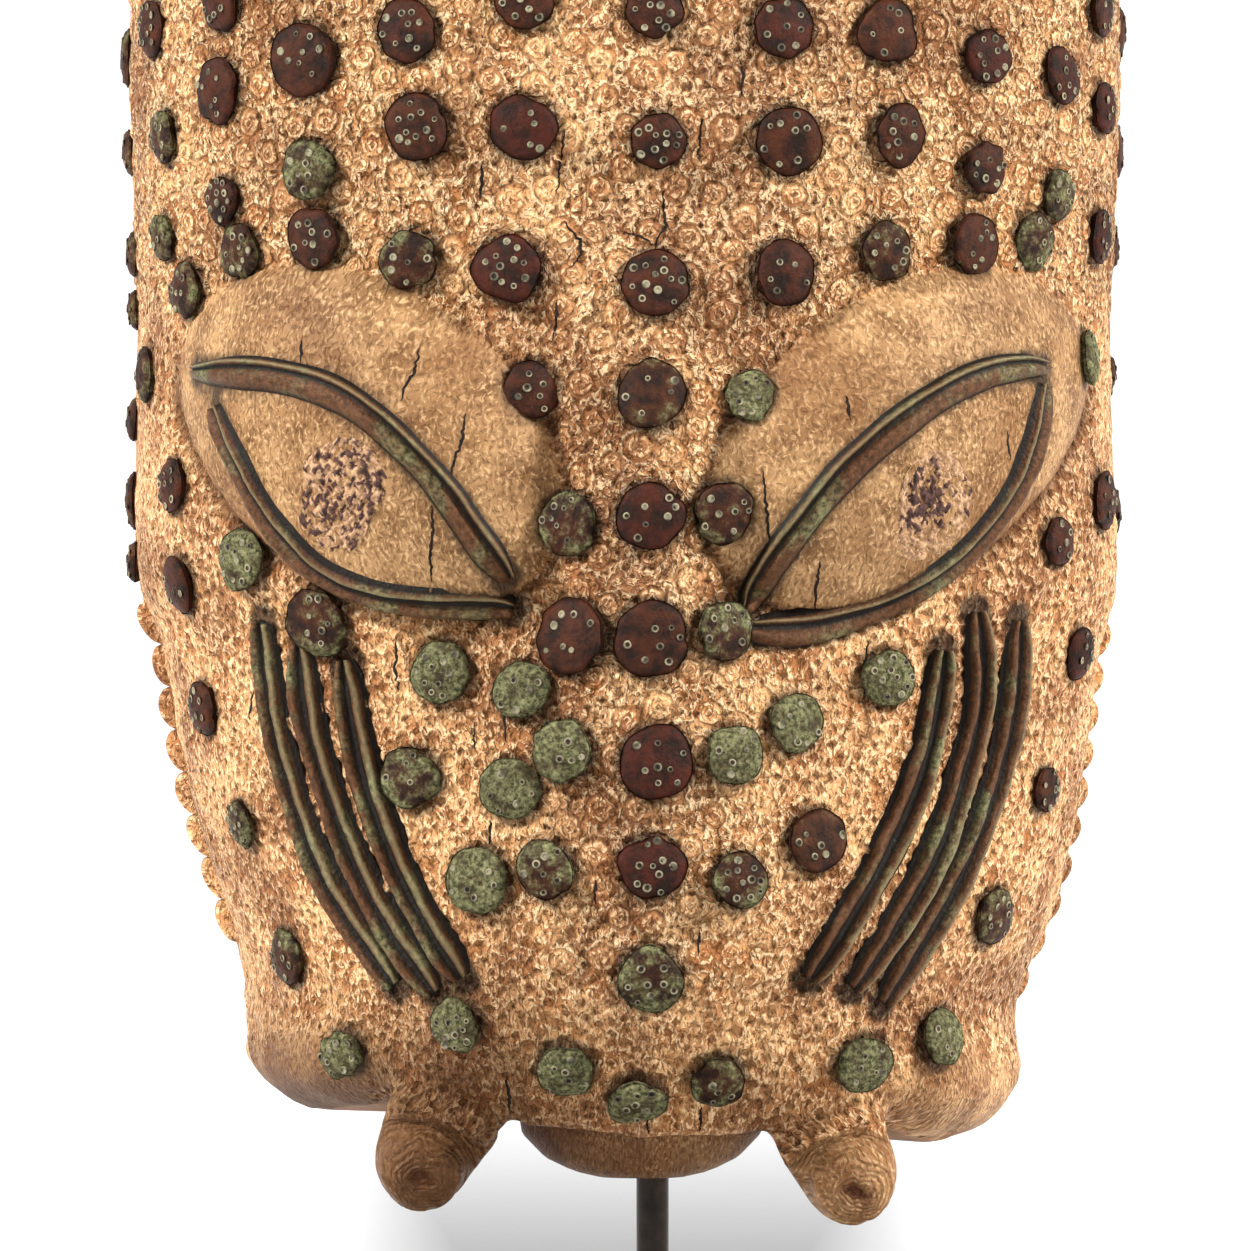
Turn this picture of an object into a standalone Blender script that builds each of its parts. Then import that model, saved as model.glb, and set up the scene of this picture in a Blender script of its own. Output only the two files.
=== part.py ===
"""Carved ivory animal mask with copper studs and strips, standing on a rod with a foot."""

import math

import bmesh
import bpy
import numpy as np
from mathutils import Vector
from mathutils.bvhtree import BVHTree

# Driving sizes in metres. Z is up, the face looks along -Y, and the rod stands over the origin.
FACE_WIDTH = 0.140
FACE_HEIGHT = 0.215
FACE_DEPTH = 0.066
SIDE_DEPTH = 0.014
WALL = 0.012
FLOOR_HEIGHT = 0.026
CORNER_SHARPNESS = 2.4
EYE_RISE = 0.0085
BRIDGE_RISE = 0.006
NOSE_STEP = 0.0022
LOBE_RISE = 0.003
CANINE_RADIUS = 0.0057
CANINE_LENGTH = 0.010
CHIN_LEVEL = 0.0085
TOOTH_LENGTH = 0.0021
EAR_WIDTH = 0.030
EAR_HEIGHT = 0.022

STUD_THICKNESS = 0.0021
STUD_SIDES = 6
HOLE_SIDES = 5
PEG_RADIUS = 0.0015
PEG_LENGTH = 0.004
STRIP_PROUD = 0.0018
STRIP_SINK = 0.0014
EYE_STRIP_WIDTH = 0.0034
CHEEK_STRIP_WIDTH = 0.0037

ROD_RADIUS = 0.00225
ROD_ASIDE = 0.0015
ROD_FREE_LENGTH = 0.060
ROD_SOCKET = 0.011
FOOT_WIDTH = 0.130
FOOT_DEPTH = 0.112
FOOT_HEIGHT = 0.018
FOOT_EDGE = 0.0015
GAP = 0.0003
GROOVE_GAP = 0.0005
CUTTER_REACH = 0.003

# The mask stands with its widest plane this far behind the rod, which puts its weight over the foot.
RIM_Y = 0.040
BACK_Y = RIM_Y + SIDE_DEPTH
TIP_Z = FOOT_HEIGHT + ROD_FREE_LENGTH - CHIN_LEVEL

# How the photograph looks at the mask. Places below are its columns and rows, and these turn them into metres.
PHOTO_MIDDLE = 624.0
PHOTO_HALF_WIDTH = 490.0
PHOTO_TIPS = 1219.0
PHOTO_LEVEL = 625.5
PHOTO_FACE_HEIGHT = 1505.0
VIEW_TURN = math.radians(-3.5)
VIEW_DISTANCE = 1.3
LEVEL = FACE_HEIGHT * (PHOTO_TIPS - PHOTO_LEVEL) / PHOTO_FACE_HEIGHT

# Half width and front depth by row, as shares of the widest half width and of the depth.
WIDTH_ROWS = (-290, 100, 300, 400, 560, 600, 645, 720, 810, 900, 950, 1000, 1090, 1220)
LEFT_SHARES = (1.0, 1.005, 0.99, 0.992, 0.995, 0.98, 0.935, 0.914, 0.876, 0.811, 0.783, 0.763, 0.74, 0.70)
RIGHT_SHARES = (1.0, 1.005, 0.985, 0.985, 1.0, 0.995, 0.965, 0.945, 0.92, 0.875, 0.83, 0.785, 0.79, 0.75)
DEPTH_ROWS = (-290, 0, 130, 400, 700, 900, 1000, 1060, 1130, 1220)
DEPTH_SHARES = (0.95, 0.98, 1.0, 0.97, 0.96, 0.97, 0.95, 0.90, 0.80, 0.75)
CROWN_SHARE = 0.84

# The lower edge of the face, from its left lobe to its right one.
EDGE_COLUMNS = (240, 264, 291, 335, 387, 450, 520, 640, 750, 830, 893, 937, 966, 994, 1020)
EDGE_ROWS = (1050, 1090, 1111, 1107, 1101, 1105, 1125, 1137, 1135, 1126, 1122, 1138, 1145, 1134, 1090)

# Eye domes: column, row, half length, half breadth and lean of each.
EYE_DOMES = ((370, 440, 215, 150, 38), (900, 440, 215, 142, -38))
VALLEYS = ((545, 520), (741, 530))
VALLEY_DEPTH = 0.0025
BRIDGE_COLUMN = 652
BRIDGE_ROWS = (250, 400, 620, 760, 950, 1060)
BRIDGE_BREADTHS = (150, 105, 95, 150, 200, 210)
BRIDGE_FADE_ROWS = (200, 330, 420, 640, 900, 1040, 1100)
BRIDGE_FADE = (0, 0.5, 1, 1, 0.85, 0.6, 0.3)
NOSE_POINT = (645, 1058)
LOBES = ((312, 1068), (955, 1085))

# Centre lines of the copper strips, one place after the other.
EYE_STRIPS = {
    "eye_strip_left_upper": (
        (200, 373), (237, 372), (296, 380), (360, 408), (414, 458), (457, 510), (502, 572),
    ),
    "eye_strip_left_lower": (
        (217, 412), (242, 472), (284, 541), (343, 588), (414, 604), (466, 606), (510, 610),
    ),
    "eye_strip_right_upper": (
        (1040, 366), (978, 376), (902, 423), (832, 486), (776, 559), (752, 598),
    ),
    "eye_strip_right_lower": (
        (1044, 400), (1031, 456), (992, 526), (918, 589), (832, 625), (762, 633),
    ),
}
CHEEK_STRIPS = {
    "cheek_strip_left_outer": ((263, 628), (285, 760), (320, 865), (378, 960), (396, 985)),
    "cheek_strip_left_middle": ((302, 652), (317, 750), (357, 865), (415, 965), (436, 991)),
    "cheek_strip_left_inner": ((347, 666), (363, 772), (407, 888), (437, 940), (460, 974)),
    "cheek_strip_right_inner": ((942, 655), (928, 745), (888, 848), (835, 940), (810, 978)),
    "cheek_strip_right_middle": ((976, 618), (979, 700), (953, 805), (905, 910), (852, 988)),
    "cheek_strip_right_outer": ((1018, 624), (1010, 710), (985, 812), (938, 915), (884, 1000)),
}

# Studs that are pieces of their own: column, row and size across.
STUDS = {
    "b4": (312, 170, 58), "b5": (419, 127, 64), "b6": (524, 128, 64), "b7": (658, 141, 54),
    "b8": (787, 141, 66), "b9": (897, 135, 56), "b10": (980, 168, 51),
    "c6": (317, 238, 60), "c7": (411, 260, 58), "c8": (509, 269, 66), "c9": (655, 284, 66),
    "c10": (783, 273, 62), "c11": (883, 251, 55), "c12": (971, 244, 60),
    "d3": (531, 391, 56), "d4": (651, 396, 67), "d5": (750, 398, 50),
    "e4": (571, 524, 62), "e5": (650, 516, 66), "e6": (721, 512, 60),
    "f2": (246, 559, 61), "f3": (320, 622, 62), "f4": (574, 637, 74), "f5": (651, 639, 74),
    "f6": (721, 632, 60),
    "g2": (442, 672, 60), "g3": (524, 691, 57), "g4": (563, 751, 60), "g5": (656, 762, 73),
    "g6": (732, 755, 58), "g7": (793, 723, 57), "g8": (885, 678, 56), "g10": (413, 778, 60),
    "g11": (513, 789, 60),
    "h2": (480, 880, 66), "h3": (547, 870, 57), "h4": (652, 867, 63), "h5": (738, 880, 55),
    "h6": (814, 841, 62),
    "i1": (650, 978, 64), "i2": (345, 1053, 48), "i3": (457, 1023, 51), "i4": (566, 1067, 56),
    "i5": (636, 1098, 54), "i6": (717, 1078, 54), "i7": (861, 1062, 60), "i8": (938, 1037, 57),
}

# Studs at the top and round the sides, fused to the ivory.
FUSED_STUDS = (
    (223, 8, 50), (155, 29, 57), (305, 60, 72), (408, 31, 61), (524, 2, 56), (654, 10, 56),
    (783, 28, 60), (886, 32, 62), (985, 57, 54), (1059, 76, 55), (1099, 12, 54),
    (220, 91, 62), (166, 137, 56), (1056, 195, 50), (1101, 108, 52),
    (225, 200, 47), (166, 238, 48), (242, 252, 54), (188, 290, 56), (1032, 241, 56),
    (1097, 236, 54), (149, 375, 52), (1086, 357, 55), (175, 486, 54), (1056, 542, 48),
    (1101, 501, 58), (181, 584, 58), (1076, 653, 50), (206, 708, 54), (1043, 789, 46),
    (244, 823, 48), (992, 916, 58), (290, 956, 58),
)
EDGE_STUDS_LEFT = ((58, 60), (153, 46), (253, 46), (310, 42), (418, 43), (500, 56), (562, 40))
EDGE_STUDS_RIGHT = ((36, 55), (150, 62), (242, 52), (376, 43), (509, 48))
CROWN_STUD_ROWS = ((-75, (225, 340, 450, 560, 655, 750, 850, 960, 1050)), (-165, (430, 655, 870)))
CROWN_STUD_SIZE = 58

# The toothed edges at the sides, from their first tooth's row to the last one's, and the canines' roots and tips.
TEETH_LEFT_ROWS = (623, 921)
TEETH_LEFT_COUNT = 8
TEETH_RIGHT_ROWS = (640, 985)
TEETH_RIGHT_COUNT = 10
CANINE_LEFT = ((450, 1105), (422, 1158))
CANINE_RIGHT = ((826, 1118), (848, 1172))
EDGE_ROW = 1130

parts = bpy.data.collections.new("ivory_mask_on_rod")
cutters = bpy.data.collections.new("cutters")


def clear_scene():
    for obj in list(bpy.data.objects):
        bpy.data.objects.remove(obj, do_unlink=True)
    bpy.context.scene.collection.children.link(parts)
    bpy.context.scene.collection.children.link(cutters)
    cutters.hide_render = True


def material(name, red, green, blue, roughness, metallic):
    made = bpy.data.materials.new(name)
    made.use_nodes = True
    shader = made.node_tree.nodes["Principled BSDF"]
    shader.inputs["Base Color"].default_value = (red, green, blue, 1.0)
    shader.inputs["Roughness"].default_value = roughness
    shader.inputs["Metallic"].default_value = metallic
    return made


def add_piece(name, mesh, look):
    obj = bpy.data.objects.new(name, mesh)
    obj.data.materials.append(look)
    parts.objects.link(obj)
    return obj


def add_cutter(name, mesh):
    obj = bpy.data.objects.new(name, mesh)
    obj.hide_render = True
    obj.display_type = "WIRE"
    cutters.objects.link(obj)
    return obj


def combine(target, other, operation):
    boolean = target.modifiers.new(f"{operation.lower()} {other.name}", "BOOLEAN")
    boolean.operation = operation
    boolean.solver = "EXACT"
    boolean.object = other


def mesh_of(name, points, faces, smooth=False, split=False):
    """A closed mesh with its faces turned outwards, and split into flat triangles where asked."""
    work = bmesh.new()
    corners = [work.verts.new(p) for p in points]
    for face in faces:
        work.faces.new([corners[i] for i in face])
    bmesh.ops.recalc_face_normals(work, faces=work.faces[:])
    if split:
        bmesh.ops.triangulate(work, faces=work.faces[:])
    mesh = bpy.data.meshes.new(name)
    work.to_mesh(mesh)
    work.free()
    for polygon in mesh.polygons:
        polygon.use_smooth = smooth
    return mesh


def loft(rings, first_number=0):
    """Points and faces of a closed body through rings with as many points each."""
    points = [p for ring in rings for p in ring]
    around = len(rings[0])
    faces = []
    for i in range(len(rings) - 1):
        for k in range(around):
            after = (k + 1) % around
            low, high = i * around, (i + 1) * around
            faces.append((low + k, low + after, high + after, high + k))
    last = (len(rings) - 1) * around
    faces.append(tuple(range(around)))
    faces.append(tuple(last + k for k in range(around)))
    return points, [tuple(i + first_number for i in face) for face in faces]


def joined(name, bodies, split=False):
    """One mesh of several bodies, given as their points and faces."""
    points, faces = [], []
    for body_points, body_faces in bodies:
        faces += [tuple(i + len(points) for i in face) for face in body_faces]
        points += body_points
    return mesh_of(name, points, faces, split=split)


def row_height(row):
    return LEVEL + (PHOTO_LEVEL - row) * FACE_HEIGHT / PHOTO_FACE_HEIGHT


def height_row(height):
    return PHOTO_LEVEL - (height - LEVEL) * PHOTO_FACE_HEIGHT / FACE_HEIGHT


def eased(value, places, sizes, spread=24):
    """A curve through places and their sizes, rounded off by averaging along it."""
    steps = np.linspace(-spread, spread, 7)
    return sum(np.interp(value + step, places, sizes) for step in steps) / len(steps)


def seen(x, y, height):
    """The photo's column and row of a place on the mask."""
    across = x * math.cos(VIEW_TURN) + (y - RIM_Y) * math.sin(VIEW_TURN)
    towards = x * math.sin(VIEW_TURN) - (y - RIM_Y) * math.cos(VIEW_TURN)
    near = VIEW_DISTANCE / (VIEW_DISTANCE - towards)
    column = PHOTO_MIDDLE + across * near * PHOTO_HALF_WIDTH / (FACE_WIDTH / 2)
    row = PHOTO_LEVEL - (height - LEVEL) * near * PHOTO_FACE_HEIGHT / FACE_HEIGHT
    return column, row, near


def relief(column, row):
    """How far the carving stands out of the plain tusk, in metres."""
    out = np.zeros(np.shape(column))
    for middle, level, length, breadth, lean in EYE_DOMES:
        along = math.cos(math.radians(lean)), math.sin(math.radians(lean))
        a = ((column - middle) * along[0] + (row - level) * along[1]) / length
        b = ((row - level) * along[0] - (column - middle) * along[1]) / breadth
        out = out + EYE_RISE * np.clip(1 - a * a - b * b, 0, 1) ** 0.75
    breadth = eased(row, BRIDGE_ROWS, BRIDGE_BREADTHS)
    rise = BRIDGE_RISE * eased(row, BRIDGE_FADE_ROWS, BRIDGE_FADE)
    out = out + rise * np.exp(-np.abs((column - BRIDGE_COLUMN) / breadth) ** 2.6)
    for valley_column, valley_row in VALLEYS:
        spot = ((column - valley_column) / 26) ** 2 + ((row - valley_row) / 110) ** 2
        out = out - VALLEY_DEPTH * np.exp(-spot)
    aside = np.abs(column - NOSE_POINT[0])
    below = np.clip((row - NOSE_POINT[1] + 0.6 * aside) / 28 + 0.5, 0, 1)
    out = out - NOSE_STEP * below * np.clip((190 - aside) / 70, 0, 1)
    for lobe_column, lobe_row in LOBES:
        spot = ((column - lobe_column) / 62) ** 2 + ((row - lobe_row) / 50) ** 2
        out = out + LOBE_RISE * np.exp(-spot)
    return out


def tusk(share, height, inset=0.0):
    """Plain tusk surface: share runs from -1 at the left rim over 0 in front to 1 at the right rim."""
    row = height_row(height)
    left, right = eased(row, WIDTH_ROWS, LEFT_SHARES), eased(row, WIDTH_ROWS, RIGHT_SHARES)
    half = FACE_WIDTH / 2 * np.where(share < 0, left, right)
    deep = FACE_DEPTH * eased(row, DEPTH_ROWS, DEPTH_SHARES)
    start = CROWN_SHARE * FACE_HEIGHT
    rise = np.clip((height - start) / (FACE_HEIGHT - start), 0, 0.995)
    crown = (1 - rise ** 2.2) ** (1 / 2.2)
    half = half * crown - inset
    deep = deep * (0.35 + 0.65 * crown) - inset
    angle = np.sign(share) * np.abs(share) ** 1.2 * math.pi / 2
    power = 2 / CORNER_SHARPNESS
    x = half * np.sign(share) * np.abs(np.sin(angle)) ** power
    y = RIM_Y - deep * np.abs(np.cos(angle)) ** power
    return x, y


def face_point(share, height):
    """Carved surface at a share and a height."""
    x, y = tusk(share, height)
    ahead, behind = np.minimum(share + 0.02, 1), np.maximum(share - 0.02, -1)
    ahead_x, ahead_y = tusk(ahead, height)
    behind_x, behind_y = tusk(behind, height)
    run_x, run_y = ahead_x - behind_x, ahead_y - behind_y
    size = np.hypot(run_x, run_y) + 1e-9
    out_x, out_y = run_y / size, -run_x / size
    out = np.zeros(np.shape(x))
    for _ in range(6):
        column, row, _near = seen(x + out_x * out, y + out_y * out, height)
        out = 0.5 * out + 0.5 * relief(column, row)
    return x + out_x * out, y + out_y * out


def on_face(column, row):
    """The place on the face that the photo shows at this column and row, with the direction out of it."""
    shares = np.linspace(-1, 1, 401)
    height = row_height(row)
    for _ in range(5):
        x, y = face_point(shares, np.full(401, height))
        columns, _row, nears = seen(x, y, height)
        first, last = int(np.argmin(columns)), int(np.argmax(columns)) + 1
        rising = np.maximum.accumulate(columns[first:last])
        share = float(np.interp(column, rising, shares[first:last]))
        near = float(np.interp(share, shares, nears))
        height = LEVEL + (PHOTO_LEVEL - row) * FACE_HEIGHT / PHOTO_FACE_HEIGHT / near
    return surface_frame(share, height)


def surface_frame(share, height):
    """Place and outward direction at a share and a height of the face."""
    shares = np.array([share, share - 0.03, share + 0.03, share, share])
    heights = height + np.array([0, 0, 0, -0.003, 0.003])
    x, y = face_point(np.clip(shares, -1, 1), heights)
    spots = [Vector((x[i], y[i], TIP_Z + heights[i])) for i in range(5)]
    out = (spots[2] - spots[1]).cross(spots[4] - spots[3]).normalized()
    return spots[0], out


def face_body():
    """The tusk's half, carved in front, flat behind and closed."""
    shares = np.linspace(-1, 1, 31)
    edge_height = row_height(EDGE_ROW)
    columns, _rows, nears = seen(*tusk(shares, np.full(31, edge_height)), edge_height)
    edges = LEVEL + (row_height(np.interp(columns, EDGE_COLUMNS, EDGE_ROWS)) - LEVEL) / nears
    rises = np.concatenate([[0, 0.0012, 0.0035, 0.007], np.linspace(0.011, 0.036, 6)])
    rises = np.concatenate([rises, np.linspace(0.043, FACE_HEIGHT * 0.80, 17)])
    rises = np.concatenate([rises, FACE_HEIGHT * np.array([0.845, 0.88, 0.91, 0.93])])
    insets = np.zeros(len(rises))
    insets[:3] = (0.007, 0.0028, 0.0007)
    rings = []
    for rise, inset in zip(rises, insets):
        fade = np.clip(1 - rise / 0.034, 0, 1)
        heights = rise + edges * fade + edge_height * (1 - fade)
        heights = np.minimum(heights, FACE_HEIGHT)
        x, y = face_point(shares, heights)
        inner_x, inner_y = tusk(shares, heights, inset)
        plain_x, plain_y = tusk(shares, heights)
        x, y = x + inner_x - plain_x, y + inner_y - plain_y
        ring = [(x[0], BACK_Y, TIP_Z + heights[0])]
        ring += [(x[k], y[k], TIP_Z + heights[k]) for k in range(len(shares))]
        ring.append((x[-1], BACK_Y, TIP_Z + heights[-1]))
        rings.append(ring)
    points, faces = loft(rings)
    top, bottom = faces.pop(), faces.pop()
    for ring in (top, bottom):
        middle = np.mean([points[i] for i in ring], axis=0)
        points.append(tuple(middle))
        for k in range(len(ring)):
            faces.append((ring[k], ring[(k + 1) % len(ring)], len(points) - 1))
    return mesh_of("ivory_mask", points, faces, smooth=True)


def cavity_body():
    """The hollow behind the face, open at the back."""
    shares = np.linspace(-1, 1, 11)
    top = FACE_HEIGHT - WALL
    rise_shares = np.array([0, 0.03, 0.1, 0.3, 0.5, 0.75, 0.88, 0.95, 0.98])
    heights = FLOOR_HEIGHT + (top - FLOOR_HEIGHT) * rise_shares
    pulls = np.array([0.010, 0.003, 0, 0, 0, 0, 0.001, 0.003, 0.008])
    rings = []
    for height, pull in zip(heights, pulls):
        x, y = tusk(shares, np.full(11, height), WALL + pull)
        ring = [(x[0], BACK_Y + 0.01, TIP_Z + height)]
        ring += [(x[k], y[k], TIP_Z + height) for k in range(11)]
        ring.append((x[-1], BACK_Y + 0.01, TIP_Z + height))
        rings.append(ring)
    return mesh_of("cavity", *loft(rings))


def canine_body(root, tip):
    """A blunt knob that leaves the cheek, bends forward and ends in a round face towards the viewer."""
    start, out = on_face(*root)
    end, _out = on_face(*tip)
    down = (end - start).normalized()
    ahead = Vector((0.15 * down.x, -0.95, -0.25)).normalized()
    stations = (
        (start - 0.8 * CANINE_LENGTH * out, down, 1.35),
        (start.lerp(end, 0.45) - 0.1 * CANINE_LENGTH * out, down.lerp(ahead, 0.35), 1.38),
        (end + 0.15 * CANINE_LENGTH * ahead, down.lerp(ahead, 0.75), 1.18),
        (end + 0.6 * CANINE_LENGTH * ahead, ahead, 1.0),
        (end + 0.8 * CANINE_LENGTH * ahead, ahead, 0.7),
    )
    rings = []
    for place, run, share in stations:
        rings += disc_rings(place, run.normalized(), CANINE_RADIUS, ((0, share),), 10)
    return loft(rings)


def chin_body():
    """The chin behind the lip, into which the rod goes."""
    rings = []
    for height, wide, deep in ((FLOOR_HEIGHT - 0.003, 0.018, 0.016), (CHIN_LEVEL + 0.006, 0.0158, 0.014),
                               (CHIN_LEVEL + 0.0027, 0.0125, 0.011), (CHIN_LEVEL, 0.0075, 0.0065)):
        ring = []
        for k in range(12):
            angle = 2 * math.pi * (k + 0.5) / 12
            ring.append((wide * math.cos(angle), deep * math.sin(angle), TIP_Z + height))
        rings.append(ring)
    return loft(rings)


def teeth_body(side, rows, count):
    """The toothed edge at one side of the lower half."""
    first_row, last_row = rows
    pitch = (last_row - first_row) / (count - 1)
    outline = []
    for n in range(count):
        middle = first_row + pitch * n
        outline += [(middle - 0.5 * pitch, 0.1), (middle - 0.22 * pitch, 1.0), (middle + 0.22 * pitch, 1.0)]
    outline.append((last_row + 0.5 * pitch, 0.1))
    rings = []
    for row, reach in outline:
        height = row_height(row)
        x = abs(float(tusk(np.array([float(side)]), np.array([height]))[0][0]))
        outer = side * (x + reach * TOOTH_LENGTH)
        inner = side * (x - 0.3 * WALL)
        front, back = RIM_Y + 0.3 * SIDE_DEPTH, BACK_Y - GAP
        rings.append([(inner, front, TIP_Z + height), (outer, front, TIP_Z + height),
                      (outer, back, TIP_Z + height), (inner, back, TIP_Z + height)])
    return loft(rings)


def ear_body(side):
    """A plain rounded ear at the crown, above the photo's upper edge."""
    rings = []
    middle_z = TIP_Z + FACE_HEIGHT - 0.45 * EAR_HEIGHT
    for n in range(5):
        turn = math.radians(-60 + 35 * n)
        wide = EAR_WIDTH / 2 * math.cos(turn)
        ring = []
        for k in range(8):
            angle = 2 * math.pi * k / 8
            ring.append((side * 0.56 * FACE_WIDTH / 2 + wide * math.cos(angle),
                         RIM_Y - 0.3 * FACE_DEPTH + 0.45 * wide * math.sin(angle),
                         middle_z + EAR_HEIGHT / 2 * 1.6 * math.sin(turn)))
        rings.append(ring)
    return loft(rings)


def disc_rings(place, out, radius, levels, sides):
    """Rings about a direction: each level is a height along it and a share of the radius."""
    level = Vector((1, 0, 0)) if abs(out.x) < 0.9 else Vector((0, -1, 0))
    side = (level - level.dot(out) * out).normalized()
    up = side.cross(out)
    rings = []
    for height, share in levels:
        ring = []
        for k in range(sides):
            angle = 2 * math.pi * (k + 0.5) / sides
            across = share * radius * (math.cos(angle) * side + math.sin(angle) * up)
            ring.append(tuple(place + height * out + across))
        rings.append(ring)
    return rings


def resting_height(tree, corners, place, out, radius):
    """How far a disc moves out along its direction before it only just rests on the face."""
    highest = -1.0
    far = 0.02
    for corner in corners:
        rise = (corner - place).dot(out)
        if abs(rise) < far and (corner - place - rise * out).length < 1.02 * radius:
            highest = max(highest, rise)
    side = out.cross(Vector((0, 0, 1))).normalized()
    up = side.cross(out)
    for share in (0.0, 0.4, 0.7, 0.9, 1.02):
        for k in range(24):
            angle = 2 * math.pi * k / 24
            spot = place + share * radius * (math.cos(angle) * side + math.sin(angle) * up)
            hit = tree.ray_cast(spot + far * out, -out, 2 * far)
            if hit[0] is not None:
                highest = max(highest, far - hit[3])
    return highest


def strip_frames(places, count):
    """Even stations along a strip's centre line, each with its directions."""
    line = np.array(places, float)
    runs = np.concatenate([[0], np.cumsum(np.hypot(*np.diff(line, axis=0).T))])
    spots = []
    for share in np.linspace(0, 1, count):
        at = share * runs[-1]
        spots.append(on_face(np.interp(at, runs, line[:, 0]), np.interp(at, runs, line[:, 1])))
    frames = []
    for i, (place, out) in enumerate(spots):
        run = spots[min(i + 1, count - 1)][0] - spots[max(i - 1, 0)][0]
        side = run.cross(out).normalized()
        frames.append((place, side, out, run.normalized()))
    return frames


def bar_body(frames, width, sink, proud, spare):
    """A strip along its frames, or with some spare size the groove it lies in."""
    rings = []
    last = len(frames) - 1
    for i, (place, side, out, run) in enumerate(frames):
        taper = 0.55 if i in (0, last) else 1.0
        half = width / 2 * taper + spare
        place = place - spare * run if i == 0 else place
        place = place + spare * run if i == last else place
        low, shoulder = -sink - spare, 0.55 * proud
        shape = [(-half, low), (half, low), (half, shoulder)]
        shape += [(0.5 * half, proud), (-0.5 * half, proud), (-half, shoulder)]
        if spare:
            high = proud + CUTTER_REACH
            shape = [(-half, low), (half, low), (half, high), (-half, high)]
        rings.append([tuple(place + across * side + rise * out) for across, rise in shape])
    return loft(rings)


def foot_body():
    """A low block with a narrow chamfer round its upper and lower edges."""
    rings = []
    for z, inset in ((0, FOOT_EDGE), (FOOT_EDGE, 0), (FOOT_HEIGHT - FOOT_EDGE, 0), (FOOT_HEIGHT, FOOT_EDGE)):
        half_x, half_y = FOOT_WIDTH / 2 - inset, FOOT_DEPTH / 2 - inset
        rings.append([(-half_x, -half_y, z), (half_x, -half_y, z), (half_x, half_y, z), (-half_x, half_y, z)])
    return loft(rings)


def rod_body(radius, low, high, sides=12):
    """An upright cylinder on the rod's axis."""
    rings = []
    for z in (low, high):
        ring = []
        for k in range(sides):
            angle = 2 * math.pi * k / sides
            ring.append((ROD_ASIDE + radius * math.cos(angle), radius * math.sin(angle), z))
        rings.append(ring)
    return loft(rings)


def fitted_radii(spots):
    """Radii of the studs, made less where two would touch."""
    radii = [size / 2 * FACE_WIDTH / 2 / PHOTO_HALF_WIDTH for _place, _out, size in spots]
    for i, (place, _out, _size) in enumerate(spots):
        for j in range(i + 1, len(spots)):
            room = (place - spots[j][0]).length - 2 * GAP
            if radii[i] + radii[j] > room:
                share = room / (radii[i] + radii[j])
                radii[i], radii[j] = radii[i] * share, radii[j] * share
    return radii


clear_scene()
ivory = material("ivory", 0.66, 0.42, 0.26, 0.55, 0.0)
copper = material("aged copper", 0.16, 0.10, 0.07, 0.5, 0.8)
dark_metal = material("dark metal", 0.03, 0.026, 0.022, 0.45, 0.9)
foot_paint = material("black painted steel", 0.015, 0.015, 0.015, 0.4, 0.0)

# The ivory head: the carved half tusk, then what stands on it, then what is cut from it.
head_mesh = face_body()
head = add_piece("ivory_mask", head_mesh, ivory)
canines = add_cutter("canines", joined("canines", [canine_body(*CANINE_LEFT), canine_body(*CANINE_RIGHT)]))
corners, triangles = [], []
for mesh in (head_mesh, canines.data):
    mesh.calc_loop_triangles()
    triangles += [tuple(i + len(corners) for i in t.vertices) for t in mesh.loop_triangles]
    corners += [v.co.copy() for v in mesh.vertices]
tree = BVHTree.FromPolygons(corners, triangles)

stud_spots = [(*on_face(column, row), size) for column, row, size in STUDS.values()]
fused_spots = [(*on_face(column, row), size) for column, row, size in FUSED_STUDS]
for row, columns in CROWN_STUD_ROWS:
    fused_spots += [(*on_face(column, row), CROWN_STUD_SIZE) for column in columns]
for side, edge_studs in ((-1, EDGE_STUDS_LEFT), (1, EDGE_STUDS_RIGHT)):
    for row, size in edge_studs:
        height = row_height(row)
        place, _out = surface_frame(side, height)
        place = Vector((place.x, RIM_Y + 0.25 * SIDE_DEPTH, TIP_Z + height))
        fused_spots.append((place, Vector((side, 0, 0)), size))
radii = fitted_radii(stud_spots + fused_spots)

fused = []
for (place, out, _size), radius in zip(fused_spots, radii[len(stud_spots):]):
    rings = disc_rings(place, out, radius, ((-0.001, 0.9), (0.8 * STUD_THICKNESS, 1.0)), 6)
    fused.append(loft(rings))

combine(head, canines, "UNION")
combine(head, add_cutter("chin", joined("chin", [chin_body()])), "UNION")
teeth = [teeth_body(-1, TEETH_LEFT_ROWS, TEETH_LEFT_COUNT), teeth_body(1, TEETH_RIGHT_ROWS, TEETH_RIGHT_COUNT)]
combine(head, add_cutter("teeth", joined("teeth", teeth)), "UNION")
combine(head, add_cutter("ears", joined("ears", [ear_body(-1), ear_body(1)])), "UNION")
combine(head, add_cutter("fused studs", joined("fused studs", fused)), "UNION")
combine(head, add_cutter("cavity", cavity_body()), "DIFFERENCE")

# The copper strips lie in grooves that are cut a little larger.
grooves = []
for strips, width, count in ((EYE_STRIPS, EYE_STRIP_WIDTH, 8), (CHEEK_STRIPS, CHEEK_STRIP_WIDTH, 6)):
    for name, places in strips.items():
        frames = strip_frames(places, count)
        grooves.append(bar_body(frames, width, STRIP_SINK, STRIP_PROUD, GROOVE_GAP))
        add_piece(name, mesh_of(name, *bar_body(frames, width, STRIP_SINK, STRIP_PROUD, 0)), copper)
combine(head, add_cutter("grooves", joined("grooves", grooves, split=True)), "DIFFERENCE")

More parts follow.
